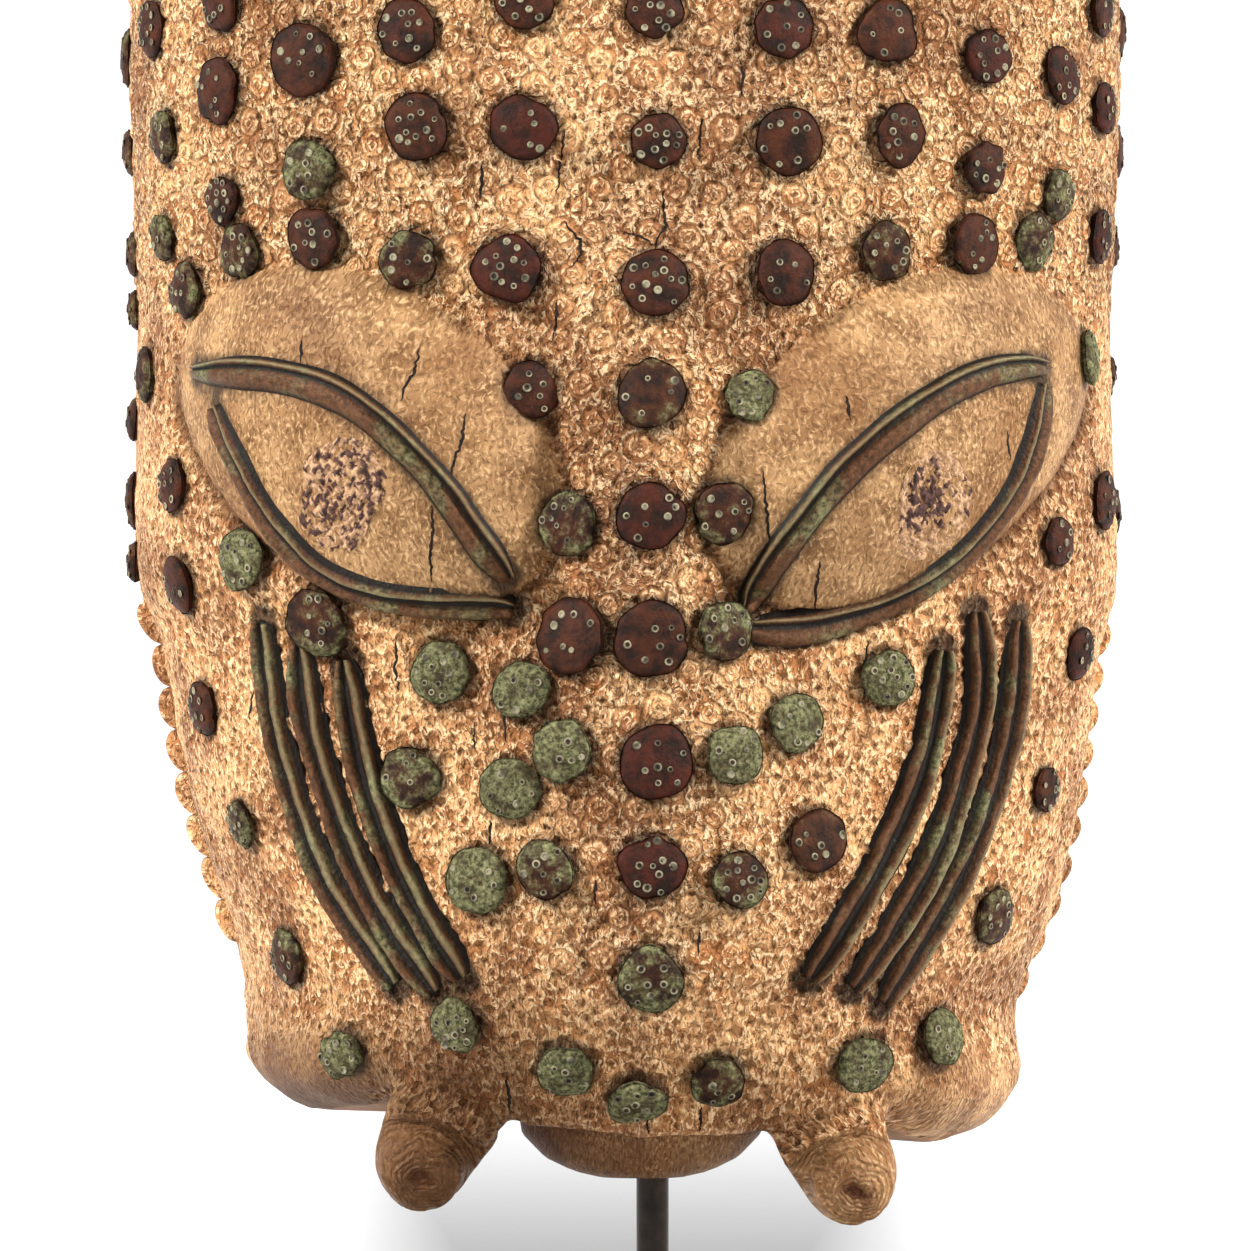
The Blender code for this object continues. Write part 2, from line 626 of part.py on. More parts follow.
# The studs stand on the face by a peg in a hole.
holes = []
for (name, (_column, _row, _size)), (place, out, _), radius in zip(STUDS.items(), stud_spots, radii):
    base = place + (resting_height(tree, corners, place, out, radius) + GAP) * out
    peg = PEG_RADIUS / radius
    levels = ((-PEG_LENGTH, peg), (0, peg), (0, 1.0), (STUD_THICKNESS, 0.78))
    rings = disc_rings(base, out, radius, levels, STUD_SIDES)
    add_piece(f"stud_{name}", mesh_of(f"stud_{name}", *loft(rings), smooth=True), copper)
    hole = (PEG_RADIUS + GAP) / math.cos(math.pi / HOLE_SIDES) / radius
    hole_rings = disc_rings(base, out, radius, ((-PEG_LENGTH - GAP, hole), (CUTTER_REACH, hole)), HOLE_SIDES)
    holes.append(loft(hole_rings))
combine(head, add_cutter("peg holes", joined("peg holes", holes)), "DIFFERENCE")

# The rod stands in the foot's bore and in the chin's socket.
rod_top = TIP_Z + CHIN_LEVEL + ROD_SOCKET
rod_low = FOOT_HEIGHT * 0.3
add_piece("mount_rod", mesh_of("mount_rod", *rod_body(ROD_RADIUS, rod_low, rod_top), smooth=True), dark_metal)
bore_radius = (ROD_RADIUS + GAP) / math.cos(math.pi / 12)
socket = rod_body(bore_radius, TIP_Z - 0.005, rod_top + GAP)
combine(head, add_cutter("rod socket", joined("rod socket", [socket])), "DIFFERENCE")
foot = add_piece("mount_foot", mesh_of("mount_foot", *foot_body()), foot_paint)
bore = rod_body(bore_radius, rod_low - GAP, FOOT_HEIGHT + 0.005)
combine(foot, add_cutter("foot bore", joined("foot bore", [bore])), "DIFFERENCE")
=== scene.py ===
"""Carved ivory animal mask with copper studs and strips, on a rod with a foot, dressed for a photograph."""

import math

import bmesh
import bpy
import numpy as np
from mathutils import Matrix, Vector
from mathutils.bvhtree import BVHTree
from mathutils.kdtree import KDTree


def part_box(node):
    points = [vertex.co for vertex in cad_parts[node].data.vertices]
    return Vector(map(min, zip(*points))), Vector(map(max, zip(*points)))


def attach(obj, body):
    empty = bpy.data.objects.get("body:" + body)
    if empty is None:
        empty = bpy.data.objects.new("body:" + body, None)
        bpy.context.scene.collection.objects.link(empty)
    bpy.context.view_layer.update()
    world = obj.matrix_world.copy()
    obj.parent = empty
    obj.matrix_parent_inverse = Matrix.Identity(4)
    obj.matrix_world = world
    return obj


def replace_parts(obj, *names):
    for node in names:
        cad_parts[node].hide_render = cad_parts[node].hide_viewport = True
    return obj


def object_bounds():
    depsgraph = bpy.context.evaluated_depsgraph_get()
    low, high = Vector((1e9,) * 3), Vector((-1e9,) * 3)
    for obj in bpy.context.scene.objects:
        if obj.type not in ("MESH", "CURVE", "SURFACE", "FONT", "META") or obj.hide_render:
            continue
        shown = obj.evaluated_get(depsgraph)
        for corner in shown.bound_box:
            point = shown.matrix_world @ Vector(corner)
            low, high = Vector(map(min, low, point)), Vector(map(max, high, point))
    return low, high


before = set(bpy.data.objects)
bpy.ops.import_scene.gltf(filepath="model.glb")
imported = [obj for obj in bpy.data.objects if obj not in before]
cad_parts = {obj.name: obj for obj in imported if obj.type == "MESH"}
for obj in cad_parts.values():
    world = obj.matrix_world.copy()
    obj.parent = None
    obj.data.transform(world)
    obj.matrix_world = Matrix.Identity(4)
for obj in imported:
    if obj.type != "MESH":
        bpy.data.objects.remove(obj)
cad_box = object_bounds()

# The carved head.
# Half of an elephant tusk, cut lengthwise, with the face carved on its round side and the pulp cavity
# opened out behind. Old ivory: cream at its high places, partly a painted highlight, tan and salmon below,
# dark dirt in its pits, deepened by painted shade.
MM = 0.001
FACE_WIDTH = 140 * MM
FACE_HEIGHT = 215 * MM
FACE_DEPTH = 66 * MM
SIDE_DEPTH = 14 * MM
WALL = 12 * MM
FLOOR_HEIGHT = 26 * MM
CORNER_SHARPNESS = 2.4
EYE_RISE = 8.5 * MM
BRIDGE_RISE = 6 * MM
NOSE_STEP = 2.2 * MM
LOBE_RISE = 3 * MM
VALLEY_DEPTH = 2.5 * MM
CANINE_RADIUS = 5.7 * MM
CANINE_LENGTH = 10 * MM
CHIN_LEVEL = 8.5 * MM
TOOTH_LENGTH = 2.1 * MM
ROD_SOCKET = 11 * MM
RIM_Y = 40 * MM
BACK_Y = RIM_Y + SIDE_DEPTH
TIP_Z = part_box("mount_rod")[1][2] - ROD_SOCKET - CHIN_LEVEL

# The photograph's own measures, in its columns and rows, and how it looks at the mask.
PHOTO_SIDE = 1251
PHOTO_MIDDLE = 624.0
PHOTO_HALF_WIDTH = 490.0
PHOTO_TIPS = 1219.0
PHOTO_LEVEL = 625.5
PHOTO_FACE_HEIGHT = 1505.0
VIEW_TURN = math.radians(-3.5)
VIEW_DISTANCE = 1.3
LEVEL = FACE_HEIGHT * (PHOTO_TIPS - PHOTO_LEVEL) / PHOTO_FACE_HEIGHT

WIDTH_ROWS = (-290, 100, 300, 400, 560, 600, 645, 720, 810, 900, 950, 1000, 1090, 1220)
LEFT_SHARES = (1.0, 1.005, 0.99, 0.992, 0.995, 0.98, 0.935, 0.914, 0.876, 0.811, 0.783, 0.763, 0.74, 0.70)
RIGHT_SHARES = (1.0, 1.005, 0.985, 0.985, 1.0, 0.995, 0.965, 0.945, 0.92, 0.875, 0.83, 0.785, 0.79, 0.75)
DEPTH_ROWS = (-290, 0, 130, 400, 700, 900, 1000, 1060, 1130, 1220)
DEPTH_SHARES = (0.95, 0.98, 1.0, 0.97, 0.96, 0.97, 0.95, 0.90, 0.80, 0.75)
CROWN_SHARE = 0.84
EDGE_COLUMNS = (240, 264, 291, 335, 387, 450, 520, 640, 750, 830, 893, 937, 966, 994, 1020)
EDGE_ROWS = (1050, 1090, 1111, 1107, 1101, 1105, 1125, 1137, 1135, 1126, 1122, 1138, 1145, 1134, 1090)
EYE_DOMES = ((370, 440, 215, 150, 38), (900, 440, 215, 142, -38))
VALLEYS = ((545, 520), (741, 530))
BRIDGE_COLUMN = 652
BRIDGE_ROWS = (250, 400, 620, 760, 950, 1060)
BRIDGE_BREADTHS = (150, 105, 95, 150, 200, 210)
BRIDGE_FADE_ROWS = (200, 330, 420, 640, 900, 1040, 1100)
BRIDGE_FADE = (0, 0.5, 1, 1, 0.85, 0.6, 0.3)
NOSE_POINT = (645, 1058)
LOBES = ((312, 1068), (955, 1085))
TEETH = ((-1, 623, 921, 8), (1, 640, 985, 10))
CANINES = (((450, 1105), (422, 1158)), ((826, 1118), (848, 1172)))
EDGE_ROW = 1130
# How far the lower edge is rounded, in millimetres: crisp at the lip, full at the lobes.
LIP_COLUMNS = (400, 500, 530, 745, 770, 900)
LIP_ROUNDS = (7.0, 5.0, 1.6, 1.6, 5.0, 7.0)


def row_height(row):
    return LEVEL + (PHOTO_LEVEL - row) * FACE_HEIGHT / PHOTO_FACE_HEIGHT


def height_row(height):
    return PHOTO_LEVEL - (height - LEVEL) * PHOTO_FACE_HEIGHT / FACE_HEIGHT


def eased(value, places, sizes, spread=24):
    """A curve through places and their sizes, rounded off by averaging along it."""
    steps = np.linspace(-spread, spread, 7)
    return sum(np.interp(value + step, places, sizes) for step in steps) / len(steps)


def seen(x, y, height):
    """The photo's column and row of a place on the mask, and how much nearness enlarges it."""
    across = x * math.cos(VIEW_TURN) + (y - RIM_Y) * math.sin(VIEW_TURN)
    towards = x * math.sin(VIEW_TURN) - (y - RIM_Y) * math.cos(VIEW_TURN)
    near = VIEW_DISTANCE / (VIEW_DISTANCE - towards)
    column = PHOTO_MIDDLE + across * near * PHOTO_HALF_WIDTH / (FACE_WIDTH / 2)
    row = PHOTO_LEVEL - (height - LEVEL) * near * PHOTO_FACE_HEIGHT / FACE_HEIGHT
    return column, row, near


def dome_share(dome, column, row):
    """Zero in the middle of an eye dome and one on its edge."""
    middle, level, length, breadth, lean = dome
    along = math.cos(math.radians(lean)), math.sin(math.radians(lean))
    a = ((column - middle) * along[0] + (row - level) * along[1]) / length
    b = ((row - level) * along[0] - (column - middle) * along[1]) / breadth
    return a * a + b * b


def relief(column, row):
    """How far the carving stands out of the plain tusk, in metres."""
    out = np.zeros(np.shape(column))
    for dome in EYE_DOMES:
        out = out + EYE_RISE * np.clip(1 - dome_share(dome, column, row), 0, 1) ** 0.75
    breadth = eased(row, BRIDGE_ROWS, BRIDGE_BREADTHS)
    rise = BRIDGE_RISE * eased(row, BRIDGE_FADE_ROWS, BRIDGE_FADE)
    out = out + rise * np.exp(-np.abs((column - BRIDGE_COLUMN) / breadth) ** 2.6)
    for valley_column, valley_row in VALLEYS:
        spot = ((column - valley_column) / 26) ** 2 + ((row - valley_row) / 110) ** 2
        out = out - VALLEY_DEPTH * np.exp(-spot)
    aside = np.abs(column - NOSE_POINT[0])
    below = np.clip((row - NOSE_POINT[1] + 0.6 * aside) / 28 + 0.5, 0, 1)
    out = out - NOSE_STEP * below * np.clip((190 - aside) / 70, 0, 1)
    for lobe_column, lobe_row in LOBES:
        spot = ((column - lobe_column) / 62) ** 2 + ((row - lobe_row) / 50) ** 2
        out = out + LOBE_RISE * np.exp(-spot)
    return out


def section(share, height):
    """Half width and depth of the tusk at a height, on the side of the share's sign."""
    row = height_row(height)
    left, right = eased(row, WIDTH_ROWS, LEFT_SHARES), eased(row, WIDTH_ROWS, RIGHT_SHARES)
    half = FACE_WIDTH / 2 * np.where(share < 0, left, right)
    deep = FACE_DEPTH * eased(row, DEPTH_ROWS, DEPTH_SHARES)
    start = CROWN_SHARE * FACE_HEIGHT
    rise = np.clip((height - start) / (FACE_HEIGHT - start), 0, 0.995)
    crown = (1 - rise ** 2.2) ** (1 / 2.2)
    return half * crown, deep * (0.35 + 0.65 * crown), crown


def tusk(share, height, inset=0.0):
    """Plain tusk surface: share runs from -1 at the left rim over 0 in front to 1 at the right rim."""
    half, deep, _crown = section(share, height)
    angle = np.sign(share) * np.abs(share) ** 1.2 * math.pi / 2
    power = 2 / CORNER_SHARPNESS
    x = (half - inset) * np.sign(share) * np.abs(np.sin(angle)) ** power
    y = RIM_Y - (deep - inset) * np.abs(np.cos(angle)) ** power
    return x, y


def face_point(share, height):
    """Carved surface at a share and a height."""
    x, y = tusk(share, height)
    ahead, behind = np.minimum(share + 0.02, 1), np.maximum(share - 0.02, -1)
    ahead_x, ahead_y = tusk(ahead, height)
    behind_x, behind_y = tusk(behind, height)
    run_x, run_y = ahead_x - behind_x, ahead_y - behind_y
    size = np.hypot(run_x, run_y) + 1e-9
    out_x, out_y = run_y / size, -run_x / size
    out = np.zeros(np.shape(x))
    for _ in range(6):
        column, row, _near = seen(x + out_x * out, y + out_y * out, height)
        out = 0.5 * out + 0.5 * relief(column, row)
    return x + out_x * out, y + out_y * out


def surface_frame(share, height):
    """Place and outward direction at a share and a height of the face."""
    shares = np.array([share, share - 0.03, share + 0.03, share, share])
    heights = height + np.array([0, 0, 0, -0.003, 0.003])
    x, y = face_point(np.clip(shares, -1, 1), heights)
    spots = [Vector((x[i], y[i], TIP_Z + heights[i])) for i in range(5)]
    out = (spots[2] - spots[1]).cross(spots[4] - spots[3]).normalized()
    return spots[0], out


def on_face(column, row):
    """The place on the face that the photo shows at this column and row, with the direction out of it."""
    shares = np.linspace(-1, 1, 401)
    height = row_height(row)
    for _ in range(5):
        x, y = face_point(shares, np.full(401, height))
        columns, _row, nears = seen(x, y, height)
        first, last = int(np.argmin(columns)), int(np.argmax(columns)) + 1
        rising = np.maximum.accumulate(columns[first:last])
        share = float(np.interp(column, rising, shares[first:last]))
        near = float(np.interp(share, shares, nears))
        height = LEVEL + (PHOTO_LEVEL - row) * FACE_HEIGHT / PHOTO_FACE_HEIGHT / near
    return surface_frame(share, height)


def loft(rings):
    """Points and faces of a closed body through rings with as many points each."""
    points = [tuple(p) for ring in rings for p in ring]
    around = len(rings[0])
    faces = []
    for i in range(len(rings) - 1):
        for k in range(around):
            after = (k + 1) % around
            low, high = i * around, (i + 1) * around
            faces.append((low + k, low + after, high + after, high + k))
    last = (len(rings) - 1) * around
    faces.append(tuple(range(around))[::-1])
    faces.append(tuple(last + k for k in range(around)))
    return points, faces


def square_to(out):
    """Two directions square to one that stands out of the face: to the side, and up."""
    level = Vector((1, 0, 0)) if abs(out.x) < 0.9 else Vector((0, -1, 0))
    side = (level - level.dot(out) * out).normalized()
    return side, side.cross(out)


def rings_about(place, out, radius, levels, sides):
    """Rings about a direction: each level is a height along it and a share of the radius."""
    side, up = square_to(out)
    turns = [2 * math.pi * (k + 0.5) / sides for k in range(sides)]
    rings = []
    for height, share in levels:
        spokes = [math.cos(a) * side + math.sin(a) * up for a in turns]
        rings.append([place + height * out + share * radius * spoke for spoke in spokes])
    return rings


def joined(bodies):
    """One body of several, each given as its points and faces."""
    points, faces = [], []
    for body_points, body_faces in bodies:
        faces += [tuple(i + len(points) for i in face) for face in body_faces]
        points += body_points
    return points, faces


def new_object(name, points, faces):
    """A smooth-shaded mesh object with its faces turned outwards."""
    mesh = bpy.data.meshes.new(name)
    mesh.from_pydata([tuple(p) for p in points], [], faces)
    work = bmesh.new()
    work.from_mesh(mesh)
    bmesh.ops.recalc_face_normals(work, faces=work.faces[:])
    work.to_mesh(mesh)
    work.free()
    mesh.shade_smooth()
    obj = bpy.data.objects.new(name, mesh)
    bpy.context.scene.collection.objects.link(obj)
    return obj


BLOCK_COLUMNS, CAVITY_COLUMNS = 181, 41


def carved_block():
    """The half tusk, carved in front and still solid behind."""
    shares = np.linspace(-1, 1, BLOCK_COLUMNS)
    edge_height = row_height(EDGE_ROW)
    columns, _rows, nears = seen(*tusk(shares, np.full(BLOCK_COLUMNS, edge_height)), edge_height)
    edges = LEVEL + (row_height(np.interp(columns, EDGE_COLUMNS, EDGE_ROWS)) - LEVEL) / nears
    rounds = MM * np.interp(columns, LIP_COLUMNS, LIP_ROUNDS)
    rises = np.concatenate([np.arange(0, 7, 0.5), np.arange(7, 0.90 * FACE_HEIGHT / MM, 1.0)]) * MM
    rises = np.concatenate([rises, FACE_HEIGHT * np.array([0.905, 0.915, 0.925, 0.932])])
    rings = []
    for rise in rises:
        inset = rounds * (1 - np.sqrt(1 - np.clip(1 - rise / rounds, 0, 1) ** 2))
        fade = np.clip(1 - rise / 0.034, 0, 1)
        heights = np.minimum(rise + edges * fade + edge_height * (1 - fade), FACE_HEIGHT)
        x, y = face_point(shares, heights)
        inner_x, inner_y = tusk(shares, heights, inset)
        plain_x, plain_y = tusk(shares, heights)
        x, y, z = x + inner_x - plain_x, y + inner_y - plain_y, TIP_Z + heights
        rings.append([(x[0], BACK_Y, z[0])] + list(zip(x, y, z)) + [(x[-1], BACK_Y, z[-1])])
    points, faces = loft(rings)
    top, bottom = faces.pop(), faces.pop()
    for ring in (top, bottom):
        points.append(tuple(np.mean([points[i] for i in ring], axis=0)))
        faces += [(ring[k], ring[(k + 1) % len(ring)], len(points) - 1) for k in range(len(ring))]
    return points, faces


def canine(root, tip):
    """A blunt knob that leaves the cheek, bends forward and ends in a round face towards the viewer."""
    start, out = on_face(*root)
    end, _out = on_face(*tip)
    down = (end - start).normalized()
    ahead = Vector((0.15 * down.x, -0.95, -0.25)).normalized()
    shares = (0, 0.3, 0.6, 1)
    places = (start - 0.8 * CANINE_LENGTH * out, start.lerp(end, 0.45) - 0.1 * CANINE_LENGTH * out,
              end + 0.15 * CANINE_LENGTH * ahead, end + 0.6 * CANINE_LENGTH * ahead)
    leans = (0, 0.35, 0.75, 1)
    radii = (1.35, 1.38, 1.18, 1.0)
    rings = []
    for share in np.linspace(0, 1, 14):
        place = Vector([float(np.interp(share, shares, [p[i] for p in places])) for i in range(3)])
        run = down.lerp(ahead, float(np.interp(share, shares, leans))).normalized()
        rings += rings_about(place, run, CANINE_RADIUS, ((0, float(np.interp(share, shares, radii))),), 28)
    for turn in (20, 40, 60, 75):
        lift = 0.25 * CANINE_LENGTH * math.sin(math.radians(turn))
        share = 0.35 + 0.65 * math.cos(math.radians(turn))
        rings += rings_about(places[-1] + lift * ahead, ahead, CANINE_RADIUS, ((0, share),), 28)
    return loft(rings), places[-1] + 0.25 * CANINE_LENGTH * ahead, ahead


def chin():
    """The chin, set back behind the lip, into which the rod goes."""
    rings = []
    levels = [FLOOR_HEIGHT - 3 * MM] + [CHIN_LEVEL + rise * MM for rise in (6, 2.7, 0.8, 0)]
    wides, deeps = (18, 16.6, 13.4, 9.5, 6), (11, 10, 8.6, 6.6, 4.6)
    for height in np.linspace(levels[0], levels[-1], 24):
        wide = MM * float(np.interp(-height, [-v for v in levels], wides))
        deep = MM * float(np.interp(-height, [-v for v in levels], deeps))
        turns = [2 * math.pi * k / 64 for k in range(64)]
        rings.append([(wide * math.cos(a), deep * math.sin(a), TIP_Z + height) for a in turns])
    return loft(rings)


def toothed_edge(side, first_row, last_row, count):
    """The toothed edge at one side of the lower half, each tooth a rounded block."""
    pitch = (last_row - first_row) / (count - 1)
    rings = []
    for row in np.arange(first_row - 0.5 * pitch, last_row + 0.5 * pitch, pitch / 16):
        swing = abs(math.cos(math.pi * (row - first_row) / pitch))
        reach = 0.05 + 0.95 * swing ** 0.5
        height = row_height(row)
        x = abs(float(tusk(np.array([float(side)]), np.array([height]))[0][0]))
        outer, inner = side * (x + reach * TOOTH_LENGTH), side * (x - 0.3 * WALL)
        ease_off = 0.35 * MM
        front, back = RIM_Y + 0.1 * SIDE_DEPTH, BACK_Y - 0.0003
        ring = [(inner, front), (outer - side * ease_off, front), (outer, front + ease_off)]
        ring += [(outer, back - ease_off), (outer - side * ease_off, back), (inner, back)]
        rings.append([(px, py, TIP_Z + height) for px, py in ring])
    return loft(rings)


EAR_WIDTH = 30 * MM
EAR_HEIGHT = 22 * MM


def ear(side):
    """A plain rounded ear at the crown, above the photo's upper edge."""
    rings = []
    middle_z = TIP_Z + FACE_HEIGHT - 0.45 * EAR_HEIGHT
    for turn in np.radians(np.linspace(-60, 78, 14)):
        wide = EAR_WIDTH / 2 * math.cos(turn)
        turns = [2 * math.pi * k / 28 for k in range(28)]
        rings.append([(side * 0.56 * FACE_WIDTH / 2 + wide * math.cos(a),
                       RIM_Y - 0.3 * FACE_DEPTH + 0.45 * wide * math.sin(a),
                       middle_z + EAR_HEIGHT / 2 * 1.6 * math.sin(turn)) for a in turns])
    return loft(rings)


def cavity():
    """The hollow behind the face, open at the back."""
    shares = np.linspace(-1, 1, CAVITY_COLUMNS)
    top = FACE_HEIGHT - WALL
    rings = []
    for share in (0, 0.01, 0.03, 0.06, 0.1, 0.2, 0.3, 0.4, 0.5, 0.6, 0.7, 0.8, 0.88, 0.92, 0.95, 0.97, 0.98):
        height = FLOOR_HEIGHT + (top - FLOOR_HEIGHT) * share
        pull = 0.010 * np.interp(share, (0, 0.03, 0.1, 0.88, 0.95, 0.98), (1, 0.3, 0, 0.1, 0.3, 0.8))
        x, y = tusk(shares, np.full(CAVITY_COLUMNS, height), WALL + pull)
        z = TIP_Z + height
        behind = BACK_Y + 10 * MM
        rings.append([(x[0], behind, z)] + [(px, py, z) for px, py in zip(x, y)] + [(x[-1], behind, z)])
    return loft(rings)


def with_modifiers_applied(obj):
    mesh = bpy.data.meshes.new_from_object(obj.evaluated_get(bpy.context.evaluated_depsgraph_get()))
    obj.modifiers.clear()
    obj.data = mesh
    mesh.shade_smooth()


def values_of(data, key, count, width=3):
    """The numbers that a mesh layer holds, as an array with one row for each point."""
    flat = np.empty(count * width, np.float32)
    data.foreach_get(key, flat)
    return flat.reshape(count, width).astype(float)


SKIN_GRAIN = 0.86 * MM
canine_bodies = [canine(*places) for places in CANINES]
bodies = [carved_block()] + [body for body, _tip, _ahead in canine_bodies] + [ear(-1), ear(1)]
head = new_object("ivory_head", *joined(bodies))
blend_in = head.modifiers.new("one_skin", "REMESH")
blend_in.mode = "VOXEL"
blend_in.voxel_size = SKIN_GRAIN
soften = head.modifiers.new("soften_joins", "SMOOTH")
soften.factor = 0.5
soften.iterations = 3
with_modifiers_applied(head)

hollow = new_object("hollow", *cavity())
opened = head.modifiers.new("open_behind", "BOOLEAN")
opened.operation = "DIFFERENCE"
opened.solver = "EXACT"
opened.object = hollow
with_modifiers_applied(head)
bpy.data.objects.remove(hollow, do_unlink=True)

skin_count = len(head.data.vertices)
extras = new_object("chin_and_teeth", *joined([chin()] + [toothed_edge(*teeth) for teeth in TEETH]))
whole = bmesh.new()
whole.from_mesh(head.data)
whole.from_mesh(extras.data)
whole.to_mesh(head.data)
whole.free()
bpy.data.objects.remove(extras, do_unlink=True)
head.data.shade_smooth()


def vertex_values(mesh, name, values):
    """Writes one number or one vector for each point of the mesh."""
    values = np.asarray(values, np.float32)
    kind, key = ("FLOAT_VECTOR", "vector") if values.ndim == 2 else ("FLOAT", "value")
    mesh.attributes.new(name, kind, "POINT").data.foreach_set(key, values.ravel())


def ease(value, low, high):
    share = np.clip((value - low) / (high - low), 0, 1)
    return share * share * (3 - 2 * share)


def face_map(points):
    """For points of the head: the place along and up the skin in millimetres, the photo's column and row,
    and how deep inside they lie."""
    x, y, height = points[:, 0], points[:, 1], points[:, 2] - TIP_Z
    half, deep, crown = section(x, height)
    a, b = np.abs(x) / half, np.clip((RIM_Y - y) / deep, 0, 2)
    turn = np.arctan2(a, b + 1e-6) / (math.pi / 2)
    along = np.sign(x) * (turn * 115 + np.clip(y - RIM_Y, 0, 1) * 1000)
    up = height * 1000 + 60 * (1 - crown)
    share = (a ** CORNER_SHARPNESS + b ** CORNER_SHARPNESS) ** (1 / CORNER_SHARPNESS)
    column, row, _near = seen(x, y, height)
    return along, up, column, row, share


count = len(head.data.vertices)
points = values_of(head.data.vertices, "co", count)
normals = values_of(head.data.vertex_normals, "vector", count)
along, up, column, row, share = face_map(points)
is_chin = (np.arange(count) >= skin_count) & (np.abs(points[:, 0]) < 22 * MM)
is_tooth = (np.arange(count) >= skin_count) & ~is_chin
along = np.where(is_tooth, (points[:, 0] + points[:, 1]) / MM, along)
inside = ease(0.93 - share, 0, 0.05) * ~is_chin * ~is_tooth
front = (points[:, 1] < RIM_Y - 2 * MM) & (inside < 0.5)
lid, crease = np.zeros(count), np.zeros(count)
for dome in EYE_DOMES:
    reach = dome_share(dome, column, row)
    lid = np.maximum(lid, ease(1.04 - reach, 0, 0.10) * front)
    crease = np.maximum(crease, np.exp(-((reach - 1.04) / 0.06) ** 2) * front * ease(row, 280, 420))
punched = ease(340 - row, 0, 60) + np.exp(-((column - BRIDGE_COLUMN) / 125) ** 4) * ease(1040 - row, 0, 80)
punched = np.clip(punched, 0, 1) * (1 - lid) * (inside < 0.5)
growth, axial = np.full(count, 99.0), np.full(count, -99.0)
for _body, tip, ahead in canine_bodies:
    away = (points - np.array(tip)) / MM
    level = away @ np.array(ahead)
    radial = np.linalg.norm(away - level[:, None] * np.array(ahead), axis=1)
    turn = np.arctan2(away[:, 0], away[:, 2])
    uneven = 0.45 * np.sin(2 * turn + 1) + 0.25 * np.sin(5 * turn + level)
    radial = radial + uneven + 0.3 * np.sin(turn + 0.9 * radial)
    here = (level > -11) & (radial < 8.5) & (row > 1085)
    growth, axial = np.where(here, radial, growth), np.where(here, level, axial)
smooth_part = np.maximum(lid, ease(axial, -11, -7) * 0.85)
smooth_part = np.maximum(smooth_part, 0.6 * is_chin)
for lobe_column, lobe_row in LOBES:
    near_lobe = ((column - lobe_column) / 75) ** 2 + ((row - lobe_row - 15) / 55) ** 2
    smooth_part = np.maximum(smooth_part, 0.6 * ease(1.2 - near_lobe, 0, 0.8))

# Punches and pits: places picked on the surface, each with its own size. The nearest one of each kind
# is kept for every point, so the same hollows shape the mesh here and shade the ivory below.
# Spacings and reaches are in millimetres.
RING_SPACING, PIT_SPACING, LUMP_SPACING = 4.3, 1.75, 3.4
RING_REACH, PIT_REACH = 5.0, 1.6
chooser = np.random.default_rng(4)
lookup = KDTree(count)
for n, p in enumerate(points):
    lookup.insert(p, n)
lookup.balance()


def spread_places(allowed, apart, most):
    """Picks points of the mesh where allowed, no two nearer than apart, in millimetres."""
    picked, taken = [], {}
    for n in chooser.permutation(np.nonzero(allowed)[0])[:most]:
        x, y, z = np.floor(points[n] / MM / apart).astype(int).tolist()
        around = [(x + i, y + j, z + k) for i in (-1, 0, 1) for j in (-1, 0, 1) for k in (-1, 0, 1)]
        rivals = [taken[cell] for cell in around if cell in taken]
        if all(np.sum((points[n] - points[r]) ** 2) > (apart * MM) ** 2 for r in rivals):
            taken[(x, y, z)] = n
            picked.append(n)
    return picked


ring, pit = np.full(count, RING_REACH), np.full(count, PIT_REACH)
ring_places = spread_places((punched > 0.55) & (np.arange(count) < skin_count), RING_SPACING, 9000)
for n in ring_places:
    size = chooser.uniform(0.82, 1.12)
    for _place, m, far in lookup.find_range(points[n], RING_REACH * MM):
        ring[m] = min(ring[m], far / MM / size)
outer_skin = (inside < 0.3) & (np.arange(count) < skin_count) & (points[:, 1] < BACK_Y - 1.5 * MM)
pit_places = spread_places(outer_skin & (smooth_part < 0.45) & (ring > 1.9), PIT_SPACING, 60000)
for n in pit_places:
    size = chooser.choice([0.75, 0.95, 1.25], p=[0.45, 0.4, 0.15])
    for _place, m, far in lookup.find_range(points[n], PIT_REACH * size * MM):
        pit[m] = min(pit[m], far / MM / size)
lumps = np.zeros(count)
for n in spread_places(outer_skin, LUMP_SPACING, 20000):
    size, rise = chooser.uniform(2.0, 4.5), chooser.uniform(-0.58, 0.45)
    for _place, m, far in lookup.find_range(points[n], 1.5 * size * MM):
        lumps[m] += rise * math.exp(-(2 * far / MM / size) ** 2)
rough_part = 1 - smooth_part
dent = 0.50 * np.clip(1 - pit ** 2, 0, 1) ** 1.2 * rough_part
ring_form = 0.20 * ease(1.75 - ring, 0, 0.4) - 0.30 * np.exp(-((ring - 1.95) / 0.3) ** 2)
ring_form = ring_form - 0.32 * ease(0.6 - ring, 0, 0.4)
growth_form = 0.16 * np.sin(growth * 2 * math.pi / 1.5) * ease(axial, -8, -4)
growth_form = growth_form - 0.5 * ease(1.3 - growth, 0, 1.0) * ease(axial, -4, -1)
shift = ring_form * punched - dent + lumps * (0.25 + 0.75 * rough_part) + growth_form - 0.8 * crease
shift = shift * outer_skin
moved = points + normals * shift[:, None] * MM
low, high = np.array(cad_box[0]) + 0.2 * MM, np.array(cad_box[1]) - 0.2 * MM
head.data.vertices.foreach_set("co", np.clip(moved, low, high).astype(np.float32).ravel())
head.data.update()
